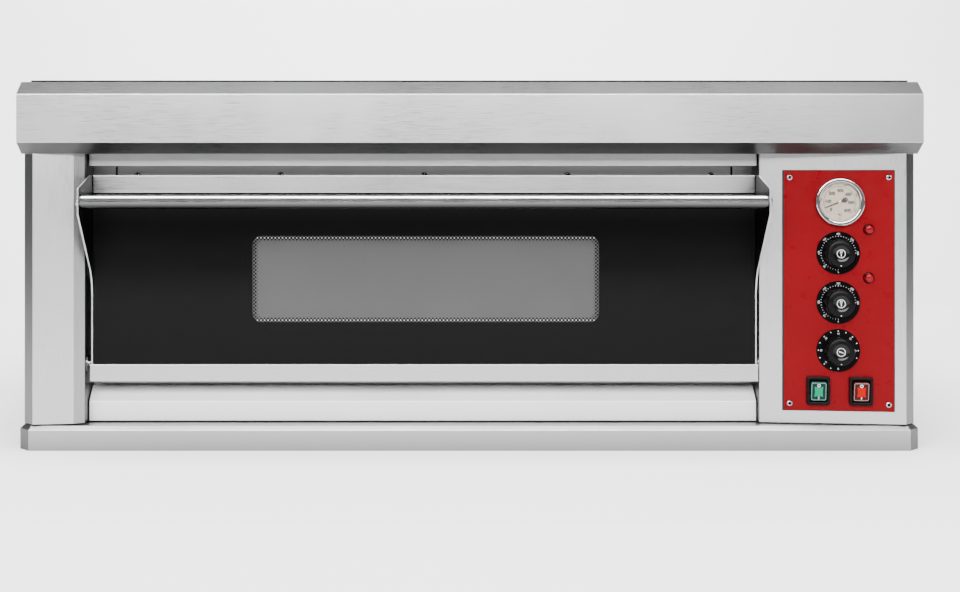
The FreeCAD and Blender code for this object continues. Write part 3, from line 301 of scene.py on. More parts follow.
def moulded_plastic(name, color, roughness=0.4, shine=0.3):
    """Moulded plastic with a fine spark-eroded texture."""
    plastic = Recipe(name, color, roughness, 0.0, Specular_IOR_Level=shine)
    grain = plastic.noise(2600.0, (1, 1, 1), 2.0)
    wear = plastic.noise(55.0, (1, 1, 1), 4.0)
    plastic.link(plastic.remap(wear, roughness - 0.08, roughness + 0.1), "Roughness")
    plastic.link(plastic.shade(wear, tinted(color, 0.85), tinted(color, 1.2)), "Base Color")
    plastic.bump(grain, 0.15, 0.03 * MM)
    return plastic.material


def lit_plastic(name, color, glow, shine=0.12):
    """Translucent coloured plastic, lit from behind when it glows."""
    plastic = Recipe(name, color, 0.2, 0.0, Specular_IOR_Level=shine)
    plastic.set("Emission Color", (*color, 1.0))
    plastic.set("Emission Strength", glow)
    body = plastic.noise(260.0, (1, 1, 1), 3.0)
    plastic.link(plastic.shade(body, tinted(color, 0.78), tinted(color, 1.15)), "Base Color")
    plastic.link(plastic.remap(body, 0.08, 0.2), "Roughness")
    return plastic.material


def ink(name, color):
    """Screen-printed ink, slightly uneven in cover."""
    print_ink = Recipe(name, color, 0.5, 0.0, Specular_IOR_Level=0.1)
    cover = print_ink.noise(900.0)
    print_ink.link(print_ink.shade(cover, tinted(color, 0.8), color), "Base Color")
    print_ink.link(print_ink.remap(cover, 0.42, 0.6), "Roughness")
    return print_ink.material


def baking_stone(name):
    """Cordierite stone: fine buff body, dark specks, scorched clouds and pores."""
    stone = Recipe(name, (0.5, 0.44, 0.36), 0.88)
    clouds = stone.shade(stone.noise(7.0, (1, 1, 1), 6.0), (0.20, 0.16, 0.115), (0.37, 0.33, 0.27))
    specks = stone.remap(stone.noise(700.0, (1, 1, 1), 2.0), 0.0, 0.8, 0.62, 0.72)
    stone.link(stone.mix(specks, clouds, (0.12, 0.09, 0.07, 1.0)), "Base Color")
    stone.bump(stone.noise(420.0, (1, 1, 1), 5.0), 0.35, 0.4 * MM, 1.0 * MM)
    return stone.material


def oxidised_rod(name):
    """Element sheath: dark oxide with brown and blue-grey patches."""
    rod = Recipe(name, (0.07, 0.07, 0.07), 0.55, 0.6)
    patches = rod.noise(60.0, (1, 1, 1), 5.0)
    rod.link(rod.shade(patches, (0.045, 0.035, 0.03), (0.15, 0.15, 0.16)), "Base Color")
    rod.link(rod.remap(patches, 0.45, 0.7), "Roughness")
    rod.bump(rod.noise(900.0), 0.3, 0.1 * MM)
    return rod.material


def mineral_wool(name):
    """Fibrous, layered wool, with painted shade deep in its slots and hollows."""
    wool = Recipe(name, (0.45, 0.42, 0.31), 0.97)
    fibres = wool.noise(1.0, (90.0, 60.0, 700.0), 7.0, 0.75)
    yarn = wool.shade(fibres, (0.22, 0.18, 0.10), (0.45, 0.42, 0.31))
    # Painted shade: darker where the wool lies deep in a slot or hollow.
    shade = wool.remap(wool.openness(40 * MM), 0.0, 1.0, 0.4, 0.9)
    wool.link(wool.mix(1.0, yarn, shade, "MULTIPLY"), "Base Color")
    wool.bump(fibres, 0.8, 2.0 * MM)
    return wool.material


def braided_rope(name):
    """Graphited rope seal: crossed diagonal yarns."""
    rope = Recipe(name, (0.02, 0.02, 0.02), 0.9)
    waves = []
    for lean in (0.8, -0.8):
        coords = rope.node("ShaderNodeTexCoord").outputs["Object"]
        tilted = rope.node("ShaderNodeMapping", Vector=coords, Rotation=(0.0, lean, 0.0)).outputs["Vector"]
        wave = rope.node("ShaderNodeTexWave", Vector=tilted, Scale=120.0)
        waves.append(wave.outputs["Fac"])
    weave = rope.mix(0.5, waves[0], waves[1])
    rope.link(rope.shade(weave, (0.006, 0.006, 0.006), (0.03, 0.029, 0.027)), "Base Color")
    rope.bump(weave, 0.7, 0.8 * MM)
    return rope.material


def printed_dial(name, color):
    """Gauge face: warm off-white enamel with a faint age stain."""
    dial = Recipe(name, color, 0.38, 0.0, Specular_IOR_Level=0.15)
    stain = dial.noise(70.0, (1, 1, 1), 3.0)
    dial.link(dial.shade(stain, tinted(color, 0.9), color), "Base Color")
    dial.link(dial.remap(stain, 0.32, 0.46), "Roughness")
    return dial.material


def stage_paint(name, color):
    """Plain matt paint for the floor and backdrop."""
    paint = Recipe(name, color, 0.85)
    paint.link(paint.shade(paint.noise(1.5), tinted(color, 0.985), color), "Base Color")
    return paint.material


# By default each brushed steel below has painted shade on faces that look down and deep in seams, and a
# painted highlight on its folds.
STEEL_ACROSS = brushed_steel("steel_across", "X", (0.41, 0.41, 0.415))
# Hood: painted shade on the top bevel and on the bevel underneath.
STEEL_HOOD = brushed_steel("steel_hood", "X", upper=0.27, under=0.22)
# Columns: painted shade on the jamb faces towards the door and on the outer chamfers.
STEEL_UPRIGHT = brushed_steel("steel_upright", "Z", (0.43, 0.43, 0.435), inner=0.12, outer=0.18,
                              seam=1.0)
# Door side plates: inner faces darkened almost to black, a painted reflection of the black glass; no shade
# on their undersides.
STEEL_PLATE = brushed_steel("steel_plate", "Z", inner=0.05, under=1.0)
STEEL_DEEP = brushed_steel("steel_deep", "Y")
# Darker copy of the sheet steel for the plinth and for the lintel under the hood: painted shade, with more
# on the end chamfers and the top.
STEEL_PLINTH = brushed_steel("steel_plinth", "X", (0.36, 0.36, 0.365), 0.34, outer=0.2, upper=0.8)
BRIGHT = polished_steel("bright_steel")
# How far up a face looks, and the tone factor there: painted reflection and shade on the bar and ring.
BAR_PAINTED_REFLECTION = ((-1.0, 0.02), (-0.7, 0.04), (-0.45, 0.1), (-0.1, 0.22), (0.1, 0.4), (0.15, 0.02), (0.38, 0.02),
             (0.45, 1.0), (0.9, 1.0), (1.0, 0.4))
RING_PAINTED_REFLECTION = ((-1.0, 0.9), (-0.6, 0.8), (-0.5, 0.08), (-0.25, 0.08), (-0.15, 1.0), (1.0, 1.0))
HANDLE = polished_steel("handle_steel", (0.55, 0.55, 0.555), 0.17, BAR_PAINTED_REFLECTION)
CHROME = polished_steel("chrome", (0.62, 0.615, 0.60), 0.05, RING_PAINTED_REFLECTION)
# Lighter copy of the sheet steel for the sill and fascia, lighter still on faces that look up: painted
# light.
STEEL_SILL = brushed_steel("steel_sill", "X", (0.70, 0.70, 0.705), 0.66, upper=1.42, seam=1.0)
# Darker copy of the sheet steel for the recessed front frame: painted shade of the recess.
STEEL_INNER = brushed_steel("steel_inner", "X", (0.19, 0.19, 0.19), 0.36, seam=1.0)
ZINC = zinc_sheet("zinc")
BAKED = baked_sheet("baked_sheet")
BLACK_GLASS = enamelled_glass("black_glass")
SMOKED = smoked_glass("smoked_glass")
CLEAR = clear_glass("clear_glass", 0.05, (0.5, 0.52, 0.51))
RED_PAINT = gloss_paint("red_paint", (0.108, 0.0005, 0.0026), 0.3)
BLACK_PLASTIC = moulded_plastic("black_plastic", (0.0015, 0.0015, 0.0017), 0.3, 0.07)
DIAL_BLACK = moulded_plastic("dial_black", (0.0008, 0.0008, 0.001), 0.25, 0.03)
GREY_PLASTIC = moulded_plastic("grey_plastic", (0.05, 0.052, 0.055), 0.5)
CERAMIC = moulded_plastic("ceramic", (0.40, 0.38, 0.34), 0.3, 0.5)
WHITE_INK = ink("white_ink", (0.45, 0.455, 0.47))
GREY_INK = ink("grey_ink", (0.004, 0.0035, 0.003))
RED_INK = ink("red_ink", (0.16, 0.03, 0.025))
CREAM = printed_dial("cream_dial", (0.31, 0.25, 0.185))
# Black gloss paint of the needle, also the painted shade on the screws' recess floors.
NEEDLE_AND_SHADE_BLACK = gloss_paint("needle_black", (0.001, 0.001, 0.001), 0.4, 0.02)
STONE = baking_stone("stone")
ELEMENT = oxidised_rod("element_sheath")
WOOL = mineral_wool("wool")
ROPE = braided_rope("rope_seal")
BRASS = polished_steel("brass", (0.72, 0.52, 0.24), 0.25)
LENS_RED = lit_plastic("lens_red", (0.13, 0.0, 0.003), 0.0, 0.14)
LENS_RING = gloss_paint("lens_ring", (0.008, 0.0003, 0.0005), 0.15, 0.2)
LIT_GREEN = lit_plastic("lit_green", (0.0, 0.13, 0.062), 1.1, 0.0)
LIT_RED = lit_plastic("lit_red", (0.24, 0.0005, 0.0005), 1.0, 0.0)
SHELL_GREEN = lit_plastic("shell_green", (0.0005, 0.014, 0.010), 0.0)
SHELL_RED = lit_plastic("shell_red", (0.022, 0.0004, 0.0008), 0.0)
# Pale rings on the rockers: painted highlight where light catches their bevelled edges.
GLINT_GREEN = lit_plastic("glint_green", (0.08, 0.17, 0.14), 0.0)
GLINT_RED = lit_plastic("glint_red", (0.17, 0.09, 0.095), 0.0)
BRIGHT_DOT = ink("bright_dot", (0.42, 0.42, 0.42))
LID_BLACK = gloss_paint("lid_black", (0.0015, 0.0015, 0.0016), 0.42, 0.05)
KNOB_DISH = moulded_plastic("knob_dish", (0.001, 0.001, 0.0012), 0.15, 0.2)
# Black of the rim round the red plate: painted shadow.
PLATE_SHADOW_BLACK = moulded_plastic("plate_shadow_black", (0.002, 0.002, 0.002), 0.6)

NODE_MATERIALS = {
    STEEL_ACROSS: ["door_bottom_rail", "door_top_flange", "door_inner_panel"],
    STEEL_HOOD: ["front_hood"],
    STEEL_SILL: ["lower_fascia"],
    STEEL_INNER: ["chamber_front_frame"],
    STEEL_UPRIGHT: ["left_column_cover", "right_column_cover"],
    STEEL_PLATE: ["door_left_side_plate", "door_right_side_plate"],
    STEEL_DEEP: ["left_side_panel", "right_side_panel", "flue_spigot"],
    STEEL_PLINTH: ["plinth_frame", "lintel_strip"],
    HANDLE: ["handle_bar"],
    BRIGHT: ["handle_end_caps", "hinge_pins", "hinge_bushes", "temperature_probes"],
    CHROME: ["gauge_case"],
    LID_BLACK: ["top_cover"],
    ZINC: ["rear_panel", "compartment_wall", "lamp_holder"],
    BAKED: ["chamber_liner", "hearth_supports", "upper_element_hangers"],
    CLEAR: ["door_inner_glass", "gauge_lens", "lamp_glass_cover", "lamp_bulb"],
    RED_PAINT: ["control_plate"],
    BLACK_PLASTIC: ["contactors"],
    GREY_PLASTIC: ["thermostats", "bake_timer", "cable_gland"],
    CERAMIC: ["terminal_block"],
    STONE: ["hearth_plate"],
    ELEMENT: ["upper_heating_elements", "lower_heating_elements"],
    WOOL: ["insulation_top", "insulation_bottom", "insulation_sides", "insulation_rear"],
    ROPE: ["door_gasket"],
}


def dress_nodes():
    """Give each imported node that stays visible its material."""
    for material, names in NODE_MATERIALS.items():
        for name in names:
            for holder in NODES[name].material_slots:
                holder.material = material


# ---------------------------------------------------------------- piece helpers
def finish_piece(name, mesh, body, materials, matrix=Matrix.Identity(4), replaced=()):
    """Place a mesh with its materials as a piece that rides on a body, and may replace CAD nodes."""
    mesh.transform(matrix)
    for material in materials:
        mesh.materials.append(material)
    piece = bpy.data.objects.new(name, mesh)
    bpy.context.scene.collection.objects.link(piece)
    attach(piece, body)
    if replaced:
        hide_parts(*replaced)


def curve_mesh(name, outlines, thickness, bevel=0.0):
    """Flat outlines in XY, holes included, given a thickness from Z = 0 upwards."""
    curve = bpy.data.curves.new(name, "CURVE")
    curve.dimensions = "2D"
    curve.fill_mode = "BOTH"
    curve.extrude = thickness / 2 - bevel
    curve.bevel_depth = bevel
    curve.bevel_resolution = 2
    curve.offset = -bevel
    for points in outlines:
        spline = curve.splines.new("POLY")
        spline.points.add(len(points) - 1)
        for point, (x, y) in zip(spline.points, points):
            point.co = (x, y, 0.0, 1.0)
        spline.use_cyclic_u = True
    holder = bpy.data.objects.new(name, curve)
    mesh = bpy.data.meshes.new_from_object(holder)
    bpy.data.objects.remove(holder)
    mesh.transform(Matrix.Translation((0, 0, thickness / 2)))
    return mesh


def circle(radius, centre=(0.0, 0.0), steps=48):
    ring = []
    for step in range(steps):
        angle = 2 * math.pi * step / steps
        ring.append((centre[0] + radius * math.cos(angle), centre[1] + radius * math.sin(angle)))
    return ring


def rounded_box(width, height, radius, steps=8):
    """Corner-rounded rectangle about the origin."""
    points = []
    for quarter, (x, y) in enumerate(((1, 1), (-1, 1), (-1, -1), (1, -1))):
        for step in range(steps + 1):
            angle = math.pi / 2 * (quarter + step / steps)
            points.append((x * (width / 2 - radius) + radius * math.cos(angle),
                           y * (height / 2 - radius) + radius * math.sin(angle)))
    return points


def lathe(name, profile, steps=72, flute=None):
    """Turn (radius, height) points about Z, with a flat disc over each end of the profile.

    Flute(angle, radius, height), where given, changes a radius.
    """
    mesh_maker = bmesh.new()
    rings = []
    for radius, height in profile:
        ring = []
        for step in range(steps):
            angle = 2 * math.pi * step / steps
            here = flute(angle, radius, height) if flute else radius
            ring.append(mesh_maker.verts.new((here * math.cos(angle), here * math.sin(angle), height)))
        rings.append(ring)
    for low, high in zip(rings, rings[1:]):
        for step in range(steps):
            after = (step + 1) % steps
            mesh_maker.faces.new((low[step], low[after], high[after], high[step]))
    mesh_maker.faces.new(list(reversed(rings[0])))
    mesh_maker.faces.new(rings[-1])
    bmesh.ops.recalc_face_normals(mesh_maker, faces=mesh_maker.faces)
    mesh = bpy.data.meshes.new(name)
    mesh_maker.to_mesh(mesh)
    mesh_maker.free()
    smooth(mesh)
    return mesh


def smooth(mesh, limit=35.0):
    """Shade smooth, keeping edges sharper than the limit."""
    for polygon in mesh.polygons:
        polygon.use_smooth = True
    mesh.set_sharp_from_angle(angle=math.radians(limit))


def merged(name, meshes, by_order=True):
    """Join meshes; by_order gives each its own material index, in order of the list."""
    mesh_maker = bmesh.new()
    for index, mesh in enumerate(meshes):
        before = len(mesh_maker.faces)
        mesh_maker.from_mesh(mesh)
        mesh_maker.faces.ensure_lookup_table()
        if by_order:
            for face in mesh_maker.faces[before:]:
                face.material_index = index
        bpy.data.meshes.remove(mesh)
    joined = bpy.data.meshes.new(name)
    mesh_maker.to_mesh(joined)
    mesh_maker.free()
    return joined


def moved(mesh, *steps):
    """Apply placement matrices to a mesh, in order."""
    for matrix in steps:
        mesh.transform(matrix)
    return mesh


def shift(x=0.0, y=0.0, z=0.0):
    return Matrix.Translation((x, y, z))


def turn(degrees, axis="Z"):
    return Matrix.Rotation(math.radians(degrees), 4, axis)


def letters(text, size, bold=0.035, thickness=PRINT):
    """Printed text as a thin mesh, centred on the origin."""
    curve = bpy.data.curves.new("letters", "FONT")
    curve.body = text
    curve.size = size
    curve.align_x = "CENTER"
    curve.align_y = "CENTER"
    curve.extrude = thickness / 2
    curve.resolution_u = 4
    curve.offset = size * bold
    holder = bpy.data.objects.new("letters", curve)
    mesh = bpy.data.meshes.new_from_object(holder)
    bpy.data.objects.remove(holder)
    return mesh


def polar(radius, degrees):
    angle = math.radians(degrees)
    return radius * math.cos(angle), radius * math.sin(angle)


# ---------------------------------------------------------------- door glass
def upright_plane(x, y, z):
    """Local XY becomes the row's XZ, with local Z looking to the front."""
    return shift(x, y, z) @ turn(90, "X")


WINDOW_WIDTH = 474.5 * MM
WINDOW_HEIGHT = 118 * MM
WINDOW_CORNER = 13 * MM
WINDOW_SHIFT = 2.3 * MM
WINDOW_CENTRE_HEIGHT = 229.6 * MM
DOT_STEP = 2.45 * MM
DARK_DOT_RADIUS = 1.5 * MM
BRIGHT_DOT_RADIUS = 0.75 * MM
DOT_BORDER = 7.5 * MM


def make_door_glass():
    """Black pane with a grey window let into it and a dotted border printed over the joint."""
    low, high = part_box("door_outer_glass")
    middle = (low + high) / 2
    size = high - low
    window_x = middle.x + WINDOW_SHIFT
    window_z = WINDOW_CENTRE_HEIGHT
    at_middle = upright_plane(middle.x, high.y, middle.z)
    hole = [(x + WINDOW_SHIFT, y + window_z - middle.z)
            for x, y in rounded_box(WINDOW_WIDTH, WINDOW_HEIGHT, WINDOW_CORNER)]
    outer = rounded_box(size.x, size.z, 2 * MM)
    pane = curve_mesh("door_glass_black", [outer, hole], size.y, 0.4 * MM)
    finish_piece("door_glass_black", pane, "door", [BLACK_GLASS], at_middle,
                 ["door_outer_glass"])
    at_window = upright_plane(window_x, high.y - 0.4 * MM, window_z)
    outline = rounded_box(WINDOW_WIDTH - 0.2 * MM, WINDOW_HEIGHT - 0.2 * MM, WINDOW_CORNER)
    window = curve_mesh("door_window", [outline], size.y - 0.8 * MM)
    finish_piece("door_window", window, "door", [SMOKED], at_window, ["door_outer_glass"])
    dots = halftone_dots()
    front = upright_plane(window_x, low.y + 0.38 * MM, window_z)
    finish_piece("door_window_dots", dots, "door", [BLACK_GLASS, BRIGHT_DOT], front,
                 ["door_outer_glass"])


def halftone_dots():
    """Printed border: a checkerboard of dark dots that shrink inwards, with pale ones on two rims."""
    across = math.ceil(WINDOW_WIDTH / 2 / DOT_STEP)
    up = math.ceil(WINDOW_HEIGHT / 2 / DOT_STEP)
    dark, bright = [], []
    for column in range(-across, across + 1):
        for row in range(-up, up + 1):
            centre = (column * DOT_STEP, row * DOT_STEP)
            inset = window_inset(*centre)
            if not -1 * MM < inset < DOT_BORDER:
                continue
            if (column + row) % 2 == 0:
                radius = DARK_DOT_RADIUS - 0.33 * max(inset - 4.5 * MM, 0.0)
                dark.append(circle(radius, centre, 10))
            elif inset > 0.4 * MM and abs(centre[1]) > WINDOW_HEIGHT / 2 - 3 * MM:
                bright.append(circle(BRIGHT_DOT_RADIUS, centre, 10))
    mesh_maker = bmesh.new()
    for index, discs in enumerate((dark, bright)):
        for disc in discs:
            face = mesh_maker.faces.new([mesh_maker.verts.new((x, y, 0.0)) for x, y in disc])
            face.material_index = index
    mesh = bpy.data.meshes.new("dots")
    mesh_maker.to_mesh(mesh)
    mesh_maker.free()
    return mesh


def window_inset(x, y):
    """How far a point of the window lies in from its rounded border."""
    over_x = abs(x) - (WINDOW_WIDTH / 2 - WINDOW_CORNER)
    over_y = abs(y) - (WINDOW_HEIGHT / 2 - WINDOW_CORNER)
    beyond = math.hypot(max(over_x, 0.0), max(over_y, 0.0))
    return WINDOW_CORNER - beyond - min(max(over_x, over_y), 0.0)


# ---------------------------------------------------------------- control panel frame
PLATE_THICK = 2 * MM


def panel_space():
    """Matrix of the canted control panel: X right, Y up, Z outwards from the column face."""
    outwards = -Vector(JOINTS["timer_turn"]["axis"]).normalized()
    up = Vector((0.0, 0.0, 1.0))
    right = up.cross(outwards)
    low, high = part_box("control_plate")
    origin = (low + high) / 2 - outwards * PLATE_THICK / 2
    space = Matrix.Identity(4)
    for column, direction in enumerate((right, up, outwards)):
        space.col[column] = (*direction, 0.0)
    space.col[3] = (*origin, 1.0)
    return space


PANEL = panel_space()


def on_panel(joint_name, height=0.0):
    """Placement at a joint's spot on the panel, at a height above the column face."""
    local = PANEL.inverted() @ Vector(JOINTS[joint_name]["pos_m"])
    return PANEL @ shift(local.x, local.y, height)


def make_plate_shadow_rim():
    """Black rim all round the red plate, a little wider on its left: painted shadow along the plate's
    edges.
    """
    low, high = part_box("control_plate")
    height = high.z - low.z
    width = Vector((high.x - low.x, high.y - low.y - PLATE_THICK)).length
    outer = [(x - 0.5 * MM, y) for x, y in rounded_box(width + 3.4 * MM, height + 2.2 * MM, 1.0 * MM)]
    inner = rounded_box(width - 4 * MM, height - 4 * MM, 1.0 * MM)
    # Painted shadow: a black rim for the shade along the plate's edges.
    seal = curve_mesh("seal", [outer, inner], 0.9 * MM, 0.2 * MM)
    finish_piece("control_plate_shadow_rim", seal, "oven_body", [PLATE_SHADOW_BLACK], PANEL)


# ---------------------------------------------------------------- gauge
GAUGE_START = 222.0
GAUGE_SWEEP = 270.0
GAUGE_TICKS = 60
GAUGE_TICK_RIM = 21.4 * MM
GAUGE_FACE_RADIUS = 26.3 * MM
NEEDLE_ANGLE = 202.0
NEEDLE_GAP = 1.4 * MM


def make_gauge():
    """Gauge face with its Celsius and Fahrenheit scales, and the needle."""
    spot = on_panel("gauge_needle_sweep", PLATE_THICK)
    radius = GAUGE_FACE_RADIUS
    face = lathe("gauge_face", [(1.3 * MM, -1 * MM), (radius, -1 * MM), (radius, 0.0), (1.3 * MM, 0.0)])
    finish_piece("gauge_face", face, "oven_body", [CREAM], spot, ["gauge_dial"])
    grey, red = [], []
    for step in range(7):
        angle = GAUGE_START - step * GAUGE_SWEEP / 6
        x, y = polar(15.4 * MM, angle)
        grey.append(moved(letters(str(step * 100), 5.7 * MM, 0.06), shift(x, y, 0.0)))
    for step in range(GAUGE_TICKS + 1):
        angle = GAUGE_START - step * GAUGE_SWEEP / GAUGE_TICKS
        length, width = (2.6 * MM, 0.6 * MM) if step % 10 == 0 else (1.5 * MM, 0.3 * MM)
        grey.append(tick(GAUGE_TICK_RIM - length, length, width, angle))
    grey.append(arc_band(21.2 * MM, 0.35 * MM, GAUGE_START - GAUGE_SWEEP, GAUGE_START))
    for step in range(1, 6):
        angle = GAUGE_START - step * 50.0
        x, y = polar(23.9 * MM, angle)
        red.append(moved(letters(str(step * 200), 2.9 * MM), facing_out(angle), shift(x, y, 0.0)))
    grey.append(moved(letters("°C", 4.4 * MM, 0.06), shift(0.0, -17.5 * MM, 0.0)))
    red.append(moved(letters("°F", 3.2 * MM), shift(0.0, -22.5 * MM, 0.0)))
    print_height = spot @ shift(z=0.04 * MM)
    for name, marks, colour in (("grey", grey, GREY_INK), ("red", red, RED_INK)):
        finish_piece(f"gauge_scale_{name}", merged(name, marks, False), "oven_body", [colour],
                     print_height)
    make_needle()


def tick(radius, length, width, degrees, thickness=PRINT):
    """A radial stroke on a dial."""
    corners = [(radius, -width / 2), (radius + length, -width / 2), (radius + length, width / 2),
               (radius, width / 2)]
    return moved(curve_mesh("tick", [corners], thickness), turn(degrees))


def arc_band(radius, width, start, end, thickness=PRINT):
    """A printed arc between two angles."""
    steps = 64
    outer = [polar(radius + width, start + (end - start) * step / steps) for step in range(steps + 1)]
    inner = [polar(radius, end + (start - end) * step / steps) for step in range(steps + 1)]
    return curve_mesh("arc", [outer + inner], thickness)


def make_needle():
    """Tapered needle with a weighted tail and a bright hub cap."""
    spot = on_panel("gauge_needle_sweep", PLATE_THICK + NEEDLE_GAP) @ turn(NEEDLE_ANGLE)
    taper = [(0.0, -1.1 * MM), (21 * MM, -0.6 * MM), (21.7 * MM, 0.0), (21 * MM, 0.6 * MM), (0.0, 1.1 * MM)]
    blade = curve_mesh("blade", [taper], 0.6 * MM)
    edge = [(0.5, 0.6), (2.6, 1.2), (4.2, 2.0), (6.6, 3.6), (9.6, 3.0), (11.2, 0.0)]
    tail = [(-x * MM, -y * MM) for x, y in edge] + [(-x * MM, y * MM) for x, y in reversed(edge[:-1])]
    weight = curve_mesh("tail", [tail], 0.7 * MM)
    cap = lathe("hub", [(0.95 * MM, -11 * MM), (0.95 * MM, 0.0), (2.4 * MM, 0.0), (2.4 * MM, 1.0 * MM),
                        (1.9 * MM, 1.5 * MM), (0.5 * MM, 1.7 * MM)], 32)
    needle = merged("needle", [blade, weight, cap])
    finish_piece("gauge_pointer", needle, "gauge_needle",
                 [NEEDLE_AND_SHADE_BLACK, NEEDLE_AND_SHADE_BLACK, BRASS], spot, ["gauge_needle"])


# ---------------------------------------------------------------- dials and knobs
DIAL_ZERO = -90.0
DIAL_RADIUS = 29 * MM
DIAL_HOLE = 3.6 * MM
KNOB_GAP = 1.4 * MM
KNOB_FLUTES = 30


def make_scale_plate(name, joint_name):
    """Black disc with a softened rim; returns the place of its print."""
    spot = on_panel(joint_name, PLATE_THICK)
    profile = [(DIAL_HOLE, 0.0), (DIAL_RADIUS - 0.3 * MM, 0.0), (DIAL_RADIUS, 0.3 * MM),
               (DIAL_RADIUS, 0.7 * MM), (DIAL_RADIUS - 0.4 * MM, 1.0 * MM), (DIAL_HOLE, 1.0 * MM)]
    finish_piece(name, lathe(name, profile, 96), "oven_body", [DIAL_BLACK], spot,
                 ["dial_plates"])
    return spot @ shift(z=1.02 * MM)


def finish_print(name, marks, spot):
    """White print on a scale plate."""
    finish_piece(f"{name}_print", merged("marks", marks, False), "oven_body", [WHITE_INK],
                 spot)


def facing_out(degrees):
    """Turn of a dial number so that it reads from the rim."""
    return turn(degrees - 90.0)


def make_thermostat_scale(name, joint_name):
    """Short strokes along the sweep with a number at every eighth of a turn."""
    spot = make_scale_plate(name, joint_name)
    marks = []
    for step in range(7):
        angle = DIAL_ZERO - step * 45.0
        x, y = polar(25.7 * MM, angle)
        marks.append(moved(letters(str(step * 50), 3.5 * MM, 0.0), facing_out(angle), shift(x, y, 0.0)))
        marks.append(tick(21.9 * MM, 1.5 * MM, 0.8 * MM, angle))
    for step in range(1, 30):
        if step % 5 != 0:
            marks.append(tick(22.2 * MM, 1.5 * MM, 0.45 * MM, DIAL_ZERO - step * 9.0))
    finish_print(name, marks, spot)


def make_timer_scale(name, joint_name):
    """Larger dots near the rim with numbers inside them."""
    spot = make_scale_plate(name, joint_name)
    marks = []
    for step in range(1, 14):
        angle = DIAL_ZERO - step * 22.5
        marks.append(curve_mesh("dot", [circle(0.8 * MM, polar(26.2 * MM, angle), 14)], 0.06 * MM))
        if step % 2 == 0:
            x, y = polar(22.6 * MM, angle)
            marks.append(moved(letters(str(step * 5), 3.4 * MM, 0.0), facing_out(angle), shift(x, y, 0.0)))
    x, y = polar(25.2 * MM, DIAL_ZERO)
    marks.append(moved(letters("0", 4.0 * MM), shift(x, y, 0.0)))
    finish_print(name, marks, spot)


def thermometer_sign():
    """Pictogram: a small thermometer."""
    stem = moved(curve_mesh("stem", [rounded_box(1.2 * MM, 5.2 * MM, 0.5 * MM)], PRINT), shift(y=-1.0 * MM))
    ring = moved(curve_mesh("ring", [circle(1.7 * MM), circle(0.9 * MM)], PRINT), shift(y=2.3 * MM))
    return [stem, ring]


def clock_sign():
    """Pictogram: clock hands."""
    return [tick(0.0, 3.2 * MM, 0.9 * MM, -20.0), tick(-0.3 * MM, 3.4 * MM, 1.4 * MM, 160.0)]


def make_knob(name, joint_name, sign):
    """Moulded knob: fluted skirt, crowned cap, glossy dish with a ringed sign, and a pointer dot."""
    spot = on_panel(joint_name, PLATE_THICK + KNOB_GAP)

    def grip(angle, radius, height):
        on_side = 3.5 * MM < height < 17.5 * MM and radius > 17 * MM
        return radius - 0.35 * MM * (0.5 + 0.5 * math.cos(KNOB_FLUTES * angle)) if on_side else radius

    skirt = [(3.0, -10.0), (3.0, 0.0), (19.6, 0.0), (20.0, 0.5), (20.0, 2.8), (19.4, 3.4), (19.2, 4.2),
             (19.0, 15.5), (18.9, 17.3), (18.5, 18.7), (17.7, 19.9), (16.4, 20.6), (14.5, 20.9),
             (11.0, 21.0), (10.8, 20.6), (10.6, 19.4)]
    dish = [(10.7, 19.4), (10.8, 20.95), (10.3, 20.74), (9.5, 20.45), (8.7, 20.22), (7.9, 20.05),
            (7.1, 20.0), (0.4, 20.0)]
    body = lathe("body", [(radius * MM, height * MM) for radius, height in skirt], 180, grip)
    inset = lathe("inset", [(radius * MM, height * MM) for radius, height in dish])
    finish_piece(f"{name}_cap", merged("cap", [body, inset]), name,
                 [BLACK_PLASTIC, KNOB_DISH], spot, [name])
    ring = curve_mesh("ring", [circle(5.8 * MM), circle(4.9 * MM)], PRINT)
    face = [moved(mesh, shift(z=20.03 * MM)) for mesh in [ring] + sign]
    dot = curve_mesh("dot", [circle(0.7 * MM, (0.0, -16.2 * MM), 16)], 0.3 * MM)
    dot = moved(dot, shift(z=20.45 * MM))
    printed = merged("printed", face + [dot], False)
    finish_piece(f"{name}_print", printed, name, [WHITE_INK], spot)


# ---------------------------------------------------------------- lamps and rockers
def make_pilots():
    """Red pilot lamps: dark flared ring, domed faceted lens."""
    low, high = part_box("pilot_lamp_domes")
    dome_radius = 5.8 * MM
    middle = PANEL.inverted() @ ((low + high) / 2)
    for name, z in (("upper_pilot", high.z - dome_radius), ("lower_pilot", low.z + dome_radius)):
        local_y = z - PANEL.translation.z
        spot = PANEL @ shift(middle.x, local_y, PLATE_THICK)
        flare = [(5.4, -24.0), (5.4, 0.0), (7.4, 0.0), (7.5, 0.5), (7.1, 1.8), (6.4, 2.7), (5.95, 3.0),
                 (5.7, 2.6), (1.0, 2.5)]
        ring = lathe(f"{name}_ring", [(radius * MM, height * MM) for radius, height in flare], 48)
        finish_piece(f"{name}_ring", ring, "oven_body", [LENS_RING], spot,
                     ["pilot_lamp_housings"])
        points = []
        for step in range(12):
            reach = math.cos(math.pi / 2 * step / 12)
            points.append((dome_radius * reach, 2.6 * MM + 4.2 * MM * (1 - reach ** 3) ** (1 / 3)))
        lens = lathe(f"{name}_lens", points, 40)
        finish_piece(f"{name}_lens", lens, "oven_body", [LENS_RED], spot, ["pilot_lamp_domes"])


HOUSING_DEEP = 24 * MM
ROCKER_TILT = 9.0
ROCKER_PIVOT = 3 * MM
ROCKER_TOP = 3.6 * MM


